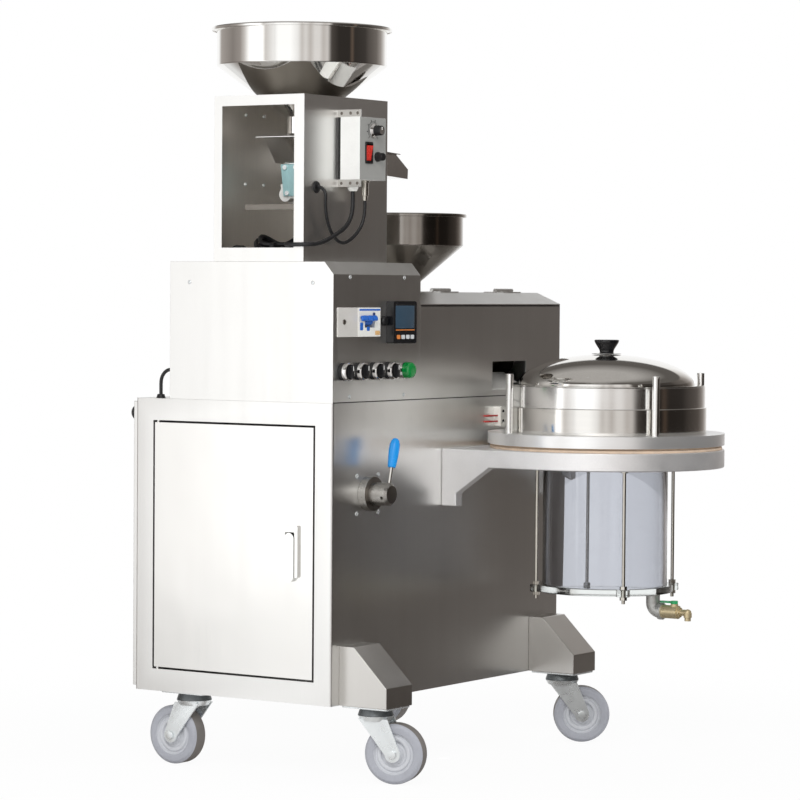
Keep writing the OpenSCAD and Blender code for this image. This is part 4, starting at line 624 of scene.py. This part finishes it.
# Circuit breaker: a white moulded case with blue toggles on one hub, joined by a bar with three lumps.
# A strip, a button, a test key and two flags are moulded on the case, clear of the toggles' swing.
# Dyed plastic: the case warm white and satin, toggles and buttons a little glossier.
case_white = finish("breaker_plastic", "#e4e3de", 0.42, 1.2, 0.015, shade=0.03)
toggle_blue = finish("toggle_blue", "#1f63c0", 0.30, 2.0, 0.01, shade=0.04)
navy = finish("navy_button", "#20356e", 0.35, 1.5, 0.01, shade=0.04)
test_tan = finish("tan_button", "#d6ac74", 0.4, 1.5, 0.01, shade=0.06)
toggle, case_y = bodies["breaker_toggle"], -2.9
eased("breaker_case", 0.7, [case_white])
turned("breaker_hub", filleted([(0, -14.7), (6.9, -14.7), (6.9, 14.7), (0, 14.7)], 0.6), (103, 8, 757),
       [toggle_blue], toggle, ["breaker_toggle"], (1, 0, 0), 40)
for k, x in enumerate((96.8, 109.2), 1):
    slab("breaker_arm_%d" % k, (x, 3.3, 758.7), (9, 3.6), 9.6, toggle_blue, toggle,
         "tilted", corner=0.6, edge=0.3)
slab("breaker_bar", (95.5, -5.2, 761.8), (45, 9), 3.6, toggle_blue, toggle, "tilted",
     corner=2.5, edge=1.2)
slab("breaker_strip", (102, case_y, 776.4), (61, 3.0), 0.5, toggle_blue, "frame",
     corner=0.6, edge=0.2)
slab("breaker_button", (114, case_y, 769), (5.6, 5.6), 1.6, navy, "frame",
     corner=1.2, edge=0.5)
slab("breaker_test", (125, case_y, 738.2), (13, 7), 1.2, test_tan, "frame",
     corner=1.5, edge=0.5)
for k, x in enumerate((81, 95.5, 110), 1):
    slab("breaker_lump_%d" % k, (x, -8.3, 762.9), (12, 8.6), 2.4, toggle_blue, toggle,
         "tilted", corner=3.6, edge=1.6)
for k, (x, z, tall) in enumerate(((78, 749, 13), (98, 745.2, 7.2)), 1):
    slab("breaker_flag_%d" % k, (x, case_y, z), (9, tall), 0.4, toggle_blue, "frame",
         corner=2, edge=0.2)
# Temperature controller: a glossy black bezel with a tinted window, an orange line and four keys.
# Bezel: lacquered black. Window: smoky blue and as smooth as glass. Keys and print: matt beside them.
glossy_black = finish("glossy_black", "#141518", 0.18, 2.5, 0.006, shade=0.04, sockets={"Coat Weight": 0.4})
screen = finish("tinted_window", "#34495a", 0.10, 4.0, shade=0.03, sockets={"Coat Weight": 0.6})
orange = finish("orange_print", "#d9803a", 0.40, 2.0, shade=0.04)
pale_key = finish("pale_keys", "#c9ccce", 0.42, 1.2, 0.01, shade=0.04)
eased("temp_controller", 1.6, [glossy_black])
controller_x, bezel_y = middle("temp_controller")[0], -14.9
slab("controller_window", (controller_x, -14.1, 764.5), (57, 38), 0.6, screen, "frame",
     corner=2.0, edge=0.3)
slab("controller_line", (controller_x, bezel_y, 742.6), (57, 1.6), 0.35, orange, "frame",
     corner=0.4, edge=0.1)
for k, key in enumerate((orange, pale_key, pale_key, pale_key)):
    slab("controller_key_%d" % (k + 1), (controller_x + 14 * k - 21, bezel_y, 731), (9, 7), 1.6, key, "frame",
         corner=1.6, edge=0.6)
# Selectors and lamp: black knobs with a white mark in chrome rings, and a green lens on a chrome seat.
# Chrome: a clear mirror, almost white. Lens: deep green plastic that lets some light in.
chrome = finish("chrome_plate", "#f0efee", 0.07, 3.0, shade=0.02, sockets=metal)
mark_white = finish("white_mark", "#ececea", 0.45, 1.5, shade=0.02)
eased("selector_bezels", 0.6, [moulded])
ring_profile = filleted([(12.3, 16.2), (13.6, 16.4), (15.0, 14.2), (15.0, 8.2), (13.2, 8.2), (12.3, 9.4)],
                        0.6, True)
for k in range(1, 5):
    knob = "selector_knob_%d" % k
    knob_at = middle(knob) * (1, 0, 1)
    turned("selector_ring_%d" % k, ring_profile, knob_at, [chrome], "frame",
           axis=(0, -1, 0), steps=64, closed=True)
    eased(knob, 0.7, [moulded])
    slab("selector_mark_%d" % k, knob_at + (0, -22.25, 5.5), (1.6, 7.5), 0.3, mark_white, bodies[knob],
         corner=0.5, edge=0.1)
lamp_green = finish("green_lens", "#0d8f40", 0.16, 3.0, shade=0.05,
                    sockets={"Transmission Weight": 0.25, "Coat Weight": 0.5})
lens = [(0, 22), (8, 21.8), (12, 19.8), (13.7, 16.5), (13.9, 8.2), (14.3, 7.4), (14.5, 5), (14.5, 0), (0, 0)]
seat_y, lens_sharp = -7.5, 10
turned("pilot_lamp_piece", filleted(lens, 1.0), middle("pilot_lamp") * (1, 0, 1), [lamp_green, chrome],
       "frame", ["pilot_lamp"], (0, -1, 0), 30, pick=lambda c, n: c[:, 1] > seat_y,
       sharp=lens_sharp)

# Feeder tower: a welded sheet case with a large window to the left. The feeder's drive stands on a
# shelf inside, and its control unit hangs on the front.
# Mill stainless: the unbrushed side of the sheet, darkened with painted shade for the shelf and the top; dull
# inside.
rolled = (1, 1, 20)
shaded_mill = finish("mill_stainless_painted_shade", "#8a857e", 0.42, 2.0, stretch=rolled, shade=0.05, patchy=0.2, sockets=metal)
inside = finish("dull_stainless", "#f0ece6", 0.5, 2.0, stretch=rolled, shade=0.04, patchy=0.15, sockets=metal)
tower_middle, shelf_z, top_z = middle("feeder_tower"), 945, 1129


def tower_pick(c, n):
    """Dull finish on faces that look inwards, and the mill finish, darkened as painted shade, on the shelf
    and the top.
    """
    inward = ((c - tower_middle) * n).sum(1) < -1
    shelf = (np.abs(c[:, 2] - shelf_z) < 8) & (c[:, 0] > 10) & (c[:, 0] < 210) & (c[:, 1] > 63.5)
    return np.where(shelf | ((n[:, 2] > 0.9) & (c[:, 2] > top_z)), 1, np.where(inward, 2, 0))


eased("feeder_tower", 1.2, [brushed, shaded_mill, inside], tower_pick)
for k, (x, z) in enumerate(((89, 1103), (141.5, 1103), (89, 986), (141.5, 986)), 1):
    screw("wall_bolt_%d" % k, (x, 244, z), (0, -1, 0), 3.0, zinc, "frame", 2.4)
# Control unit: a white painted cover and a grey face on a bare aluminium side plate.
# Paint: clean white with a fine orange peel. Face: mid grey, darkened as painted shade. Aluminium: soft,
# streaked by rolling.
paint_white = finish("white_paint", "#f3f3f0", 0.38, 1.5, 0.02, shade=0.03)
shaded_face_grey = finish("grey_face_painted_shade", "#969693", 0.45, 1.2, 0.01, shade=0.03)
aluminium = finish("plain_aluminium", "#d9d7d3", 0.36, 1.5, 0.01, stretch=rolled, shade=0.05, sockets=metal)


unit_y, fuse_x, fuse_z, rocker_x, rocker_z = 17, 150, 1031, 125, 1037


def unit_pick(c, n):
    """Black fuse holder and rocker pocket, grey front darkened as painted shade, bare side plate with tabs,
    and white cover.
    """
    fuse = (c[:, 1] < unit_y - 0.4) & (np.hypot(c[:, 0] - fuse_x, c[:, 2] - fuse_z) < 9)
    pocket = ((np.abs(c[:, 0] - rocker_x) < 9.2) & (np.abs(c[:, 2] - rocker_z) < 15.2)
              & (c[:, 1] > unit_y + 0.2))
    plate = (c[:, 0] < 104.1) & ((c[:, 2] > 1096.1) | (c[:, 2] < 991.9) | (np.abs(c[:, 0] - 102) < 0.2))
    front = (n[:, 1] < -0.9) & (c[:, 0] > 103.9)
    return np.select([fuse | pocket, plate, front], [1, 3, 2], 0)


eased("feeder_controller", 0.9, [paint_white, moulded, shaded_face_grey, aluminium], unit_pick)
# The black strip in the gap behind the cover, between the side plate and the tower, is painted shadow.
slab("cover_gap_shadow", (101.9, 59.4, 1044), (6.4, 103), 0.5, moulded, "frame", "left",
     corner=0.4, edge=0.1)
for k, (y, z) in enumerate(((24, 1102), (38, 1102), (56, 1102), (24, 986), (38, 986), (56, 986)), 1):
    screw("tab_screw_%d" % k, (102, y, z), (-1, 0, 0), 2.6, dark_steel, "frame", 1.0)
dial_x, dial_z = middle("dial_knob")[[0, 2]]
dial = [(0, 17.4), (6.2, 17.4), (6.6, 18), (7.6, 18), (8.2, 16.8), (8.5, 6.4), (9.0, 5.6), (12.2, 2.6),
        (12.4, 0.2), (0, 0.2)]


def dial_pick(c, n):
    """Chrome skirt and chrome cap on a black knob."""
    cap = (c[:, 1] < -0.5) & (np.hypot(c[:, 0] - dial_x, c[:, 2] - dial_z) < 6.4)
    return (c[:, 1] > 11.2) | cap


turned("dial_knob_piece", filleted(dial, 0.7), (dial_x, 16.7, dial_z), [moulded, chrome], bodies["dial_knob"],
       ["dial_knob"], (0, -1, 0), 48, pick=dial_pick)
slab("dial_pointer", (dial_x, -1.25, dial_z + 3.4), (1.2, 5), 0.3, mark_white, bodies["dial_knob"],
     corner=0.4, edge=0.1)
# Dial scale: a thin raised arc of three quarters of a turn, wider at its eight marks.
scale_steps, scale_end, mark_step, mark_half = 541, 135, 38.57, 2.4
scale_turn = np.linspace(-scale_end, scale_end, scale_steps)
at_mark = np.abs((scale_turn + scale_end + mark_step / 2) % mark_step - mark_step / 2) < mark_half
mark_r = np.where(at_mark, 18.8, 15.2)
scale_r = np.stack([14.5 + 0 * mark_r, mark_r, mark_r, 14.5 + 0 * mark_r], 1)
turned_to = np.radians(scale_turn)[:, None]
scale = np.stack([dial_x + scale_r * np.sin(turned_to), np.tile([17.05, 17.05, 16.8, 16.8], (scale_steps, 1)),
                  dial_z + scale_r * np.cos(turned_to)], -1)
last = 4 * scale_steps - 1
scale_ends = [[0, 1, 2, 3], [last, last - 1, last - 2, last - 3]]
scale_faces = grid_faces(scale_steps, 4, False, True).tolist() + scale_ends
piece("dial_scale", scale.reshape(-1, 3), scale_faces, [moulded], "frame")
# Rocker: a glossy red moulding in a black frame of four bars.
red = finish("red_rocker", "#cf352c", 0.25, 2.0, 0.01, shade=0.05)
eased("rocker_switch", 0.5, [red])
frame_bar, frame_cheek = (20, 4), (1.4, 32)
for name, x, z, size in (("top", 0, 16, frame_bar), ("foot", 0, -16, frame_bar),
                         ("left", -9.7, 0, frame_cheek), ("right", 9.7, 0, frame_cheek)):
    slab("rocker_frame_" + name, (rocker_x + x, unit_y, rocker_z + z), size, 2.6, moulded, "frame",
         corner=0.8, edge=0.7)
# Fittings: milky white nylon glands, a plated connector and black grommets.
fitting_white = finish("white_nylon", "#e6e6e1", 0.40, 1.4, 0.015, shade=0.03)


def fitting_pick(c, n):
    """Plated connector under the unit, black grommets lower down, and white glands."""
    connector = np.hypot(c[:, 0] - 146, c[:, 1] - 38) < 9
    black = (c[:, 0] < 100) & (c[:, 2] < 990)
    return np.select([connector, black], [1, 2], 0)


eased("cable_fittings", 0.5, [fitting_white, nickel, moulded], fitting_pick)

# Vibratory drive and trough: a cast white block on round feet, pale blue glass-fibre leaf springs,
# and a folded trough that shakes the seeds along to the press.
# Glass fibre in resin: pale blue-green and half glossy, streaked along its fibres.
teal = finish("glass_fibre", "#a9d3d6", 0.35, 1.5, 0.02, stretch=rolled, shade=0.08)
# Bright sheet: finer and shinier than the cabinet's.
bright = finish("bright_stainless", "#f4f3f1", 0.14, 1.5, stretch=upright, shade=0.012, patchy=0.1,
                sockets={"Metallic": 1.0, "Anisotropic": 0.5}, wave=0.3)
eased("vibrator_base", 1.6, [paint_white])


spring_x, spring_z, spring_lean = np.array([105.5, 195.5]), 966, math.radians(9.4)


def spring_pick(c, n):
    """Screw heads stand off the two plates, which lean from their feet."""
    foot = c[:, 0] + (c[:, 2] - spring_z) * math.tan(spring_lean)
    return np.abs(foot[:, None] - spring_x).min(1) >= 1.6


eased("leaf_springs", 0.4, [teal, zinc], spring_pick)
eased("feed_trough", 0.4, [bright])


# Top hopper: a bowl spun from bright sheet, with a rim rolled out and down.
# Its cone drops through the tower's top and lets the seeds fall into the trough.
# Spun stainless, polished: nearly a clear mirror, with faint rings left by the spinning tool.
ringed = (60, 60, 1)
spun = finish("spun_stainless", "#f2f1ee", 0.06, 1.5, stretch=ringed, shade=0.012, patchy=0.1, sockets=metal)
# The same, darker and less polished.
dulled = finish("dulled_stainless", "#a39e98", 0.14, 1.5, stretch=ringed, shade=0.03, patchy=0.15,
                sockets=metal)


def hopper(node, neck, wall, rim, levels, material):
    """Closed profile of a spun hopper: neck, cone, upright wall, and a rim rolled out and down."""
    foot, cone, brim, top = levels
    thick = 2.0
    profile = [(neck - thick, foot), (neck, foot), (neck, cone), (wall, brim), (wall, top - 3),
               (wall + rim - 1.8, top - 2.2), (wall + rim - 1.6, top - 6), (wall + rim, top - 6),
               (wall + rim, top - 1.2), (wall + rim - 1.5, top), (wall - thick + 1, top),
               (wall - thick, top - 1.2), (wall - thick, brim + 1), (neck - thick, cone + 1)]
    turned(node + "_piece", filleted(profile, 1.4, True), middle(node) * (1, 1, 0), [material], "frame",
           [node], closed=True, steps=128)


hopper("top_hopper", 27, 143, 9, (1070, 1099.3, 1184, 1248), spun)

# Press: the housing covers barrel and screw, with a hinged inspection lid along its sloped front
# edge, an oil outlet with a chute, and a second hopper on its top.
# Chute: satin sheet that shows pale between dark walls.
tray = finish("satin_tray", "#dbd9d4", 0.4, 2.0, shade=0.04, sockets={"Metallic": 0.35})


def chute_pick(c, n):
    """Satin on the chute, which lies in the oil outlet just behind the housing's front."""
    within = (c[:, 1] > 0.5) & (c[:, 1] < 46.5)
    return within & (c[:, 2] > 634) & (c[:, 2] < 666) & (np.abs(c[:, 0] - 550.5) < 56)


eased("press_housing", 1.0, [brushed, tray], chute_pick)
eased("press_lid", 0.5, [brushed])
hopper("press_hopper", 28, 102, 6, (745, 825, 888, 944), dulled)
# Sleeve that lines the cake outlet, with a collar that closes the hole round the barrel.
sleeve = [(38.5, -44), (40.5, -44), (40.5, -1.8), (63, -1.8), (63, -0.1), (38.5, -0.1)]
# It takes the mill finish, darkened as painted shade inside the outlet.
turned("cake_sleeve", filleted(sleeve, 0.5, True), (723, 155, 700), [shaded_mill], "frame",
       axis=(1, 0, 0), closed=True)
# Drives inside the cabinet: plain grey machine paint.
grey_paint = finish("grey_machine_paint", "#74828c", 0.42, 3.0, 0.03, shade=0.05)
for node, material in (("press_barrel", machined), ("press_screw", machined), ("gear_motor", grey_paint),
                       ("vacuum_pump", grey_paint)):
    frame["nodes"][node].data.materials.clear()
    frame["nodes"][node].data.materials.append(material)

# Filter: a cast bracket carries a thick flange on a tan gasket, a turned pot with a domed lid and
# four slotted posts. Oil is drawn through the cloth inside into the clear tank below.
# Cast aluminium: pale, blasted smooth.
cast = finish("cast_aluminium", "#f4f3f3", 0.42, 2.5, 0.01, shade=0.03, sockets={"Metallic": 0.75})
# Turned steel: satin, with fine marks that run round the pot and are drawn 1.2 mm wide. The pot's thicker
# foot is a darker mirror, and the faced flange is paler and softer.
satin = finish("turned_steel", "#fbfaf8", 0.17, 1.2, stretch=ringed, shade=0.02, patchy=0.12, sockets=metal)
darker = finish("bored_steel", "#eae8e4", 0.12, 1.2, stretch=ringed, shade=0.02, patchy=0.12, sockets=metal)
faced = finish("faced_steel", "#fbfbfa", 0.32, 1.2, stretch=ringed, shade=0.02, patchy=0.12,
               sockets={"Metallic": 0.82})
# Gasket: matt tan fibre.
tan = finish("tan_gasket", "#d9c2ab", 0.7, 1.6, 0.05, shade=0.12)
eased("filter_bracket", 2.4, [cast])
hub = middle("filter_barrel") * (1, 1, 0)
gasket = [(95, 538.5), (200.8, 538.5), (200.8, 542.6), (196, 543.4), (196, 546), (95, 546)]
turned("flange_gasket_piece", filleted(gasket, 0.5, True), hub, [tan], "frame",
       ["flange_gasket"], closed=True, steps=160)
flange_top, pot_step = 566.5, 610.6
eased("filter_flange", 1.2, [faced, satin], lambda c, n: c[:, 2] > flange_top)
pot = [(165, 566.1), (173.5, 566.1), (173.5, 610.4), (171, 610.8), (171, 646.5), (165, 646.5)]
turned("filter_barrel_piece", filleted(pot, 0.8, True), hub, [satin, darker], "frame",
       ["filter_barrel"], closed=True, steps=160, pick=lambda c, n: c[:, 2] < pot_step)
# Lid: a superellipse of 2 mm sheet over a flat rim.
crown = np.linspace(0, np.pi / 2, 32)
fullness = 1.95
round_way, up_way = np.cos(crown) ** (2 / fullness), np.sin(crown) ** (2 / fullness)
dome = np.stack([152 * round_way, 648.8 + 52 * up_way], -1)
under = np.stack([150 * round_way, 648.8 + 50 * up_way], -1)
rim = filleted([(150, 648), (150, 646.8), (170.5, 646.8), (170.5, 648.8), (152.5, 648.8), (152, 649)], 0.7)
lid_profile = np.concatenate([rim[:-1], dome, under[::-1]])
turned("filter_lid_piece", lid_profile, hub, [polished], bodies["filter_lid"],
       ["filter_lid"], closed=True, steps=160)
lid_knob = [(0, 25.5), (19, 25.5), (21, 25), (21.5, 23.5), (20.5, 20), (17.5, 15), (13.5, 9), (12, 5),
            (12.5, 3), (25.5, 1.5), (25.5, 0.2), (0, 0.2)]
lid_top = 700.8
turned("lid_knob_piece", filleted(lid_knob, 1.6) + (0, lid_top), hub, [glossy_black, chrome],
       bodies["lid_knob"], ["lid_knob"], steps=72, pick=lambda c, n: c[:, 2] < lid_top + 2.6)

# Tank: a clear acrylic tube clamped by four tie rods between the bracket and a clear base with ears.
# A brass tap with a green lever hangs under the base.
# Clear acrylic: faintly blue through the wall, a little milky at the cut base.
clear = {"Transmission Weight": 1.0, "IOR": 1.49}
acrylic = finish("clear_acrylic", "#e2e4e9", 0.02, 30.0, shade=0.01, sockets=clear)
acrylic_edge = finish("acrylic_base", "#f0f4f3", 0.05, 30.0, shade=0.02, sockets=clear)
tank_foot, tank_top = (np.array(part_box("clear_tank"))[:, 2] * 1000).tolist()
base_h, base_r, ear_at, ear_r = 12, 118, 122, 11
tube_foot = tank_foot + base_h + 0.1
tube = [(102, tube_foot), (108, tube_foot), (108, tank_top), (102, tank_top)]
turned("tank_tube", filleted(tube, 0.6, True), hub, [acrylic], "frame", ["clear_tank"],
       closed=True, steps=192)
# Base outline by bearing: a disc, and at each tie rod the far side of an ear.
bearing = np.radians(np.arange(0, 360, 0.5))
off = bearing % (np.pi / 2) - np.pi / 4
ear = ear_at * np.cos(off) + np.sqrt(np.maximum(0, ear_r ** 2 - (ear_at * np.sin(off)) ** 2))
outline = np.where(np.abs(np.sin(off)) < ear_r / ear_at, np.maximum(base_r, ear), base_r)
round_off = 0.8
layers = [np.stack([(outline - d) * np.cos(bearing) + hub[0], (outline - d) * np.sin(bearing) + hub[1],
                    0 * bearing + tank_foot + z], -1)
          for d, z in ((round_off, 0), (0, round_off), (0, base_h - round_off), (round_off, base_h))]
around_base = np.arange(len(bearing))
base_ends = [around_base[::-1].tolist(), (around_base + 3 * len(bearing)).tolist()]
base_faces = grid_faces(len(layers), len(bearing), False, True).tolist() + base_ends
piece("tank_base", np.concatenate(layers), base_faces, [acrylic_edge], "frame")
eased("tie_rods", 0.5, [nickel])
# Tap: satin brass with a dull zinc elbow, and a lever dipped in green enamel.
brass = finish("satin_brass", "#dccba4", 0.34, 2.0, shade=0.05, sockets={"Metallic": 0.65})
plated = finish("dull_zinc", "#d6d6d3", 0.38, 2.0, shade=0.06, sockets={"Metallic": 0.65})
tap_green = finish("green_enamel", "#2aa163", 0.30, 2.0, 0.015, shade=0.05)
elbow_y = -315.1
eased("tap_body", 0.6, [brass, plated], lambda c, n: c[:, 1] > elbow_y)
eased("tap_handle", 0.7, [tap_green])

# Heater terminal: a pressed and glazed ceramic block on the cabinet's front, with four sunk screws.
# Two red leads run from its left end into the cabinet.
# Glaze: warm white with a wet shine. Leads: red PVC with a dull shine.
ceramic = finish("glazed_ceramic", "#efede6", 0.22, 3.0, 0.02, shade=0.03)
red_wire = finish("red_wire", "#b8322c", 0.4, 1.5, 0.01, shade=0.05)


def terminal_pick(c, n):
    """Red leads to the left of the block, and black at the foot of its four holes: the sunk screws, darkened
    as painted shade.
    """
    hole = np.hypot(np.abs(c[:, 0] - 518) - 9, np.abs(c[:, 2] - 589.5) - 8.5)
    return np.where(c[:, 0] < 499.9, 1, np.where((hole < 4) & (c[:, 1] > -13.9), 2, 0))


eased("heater_terminal", 0.8, [ceramic, red_wire, moulded], terminal_pick)
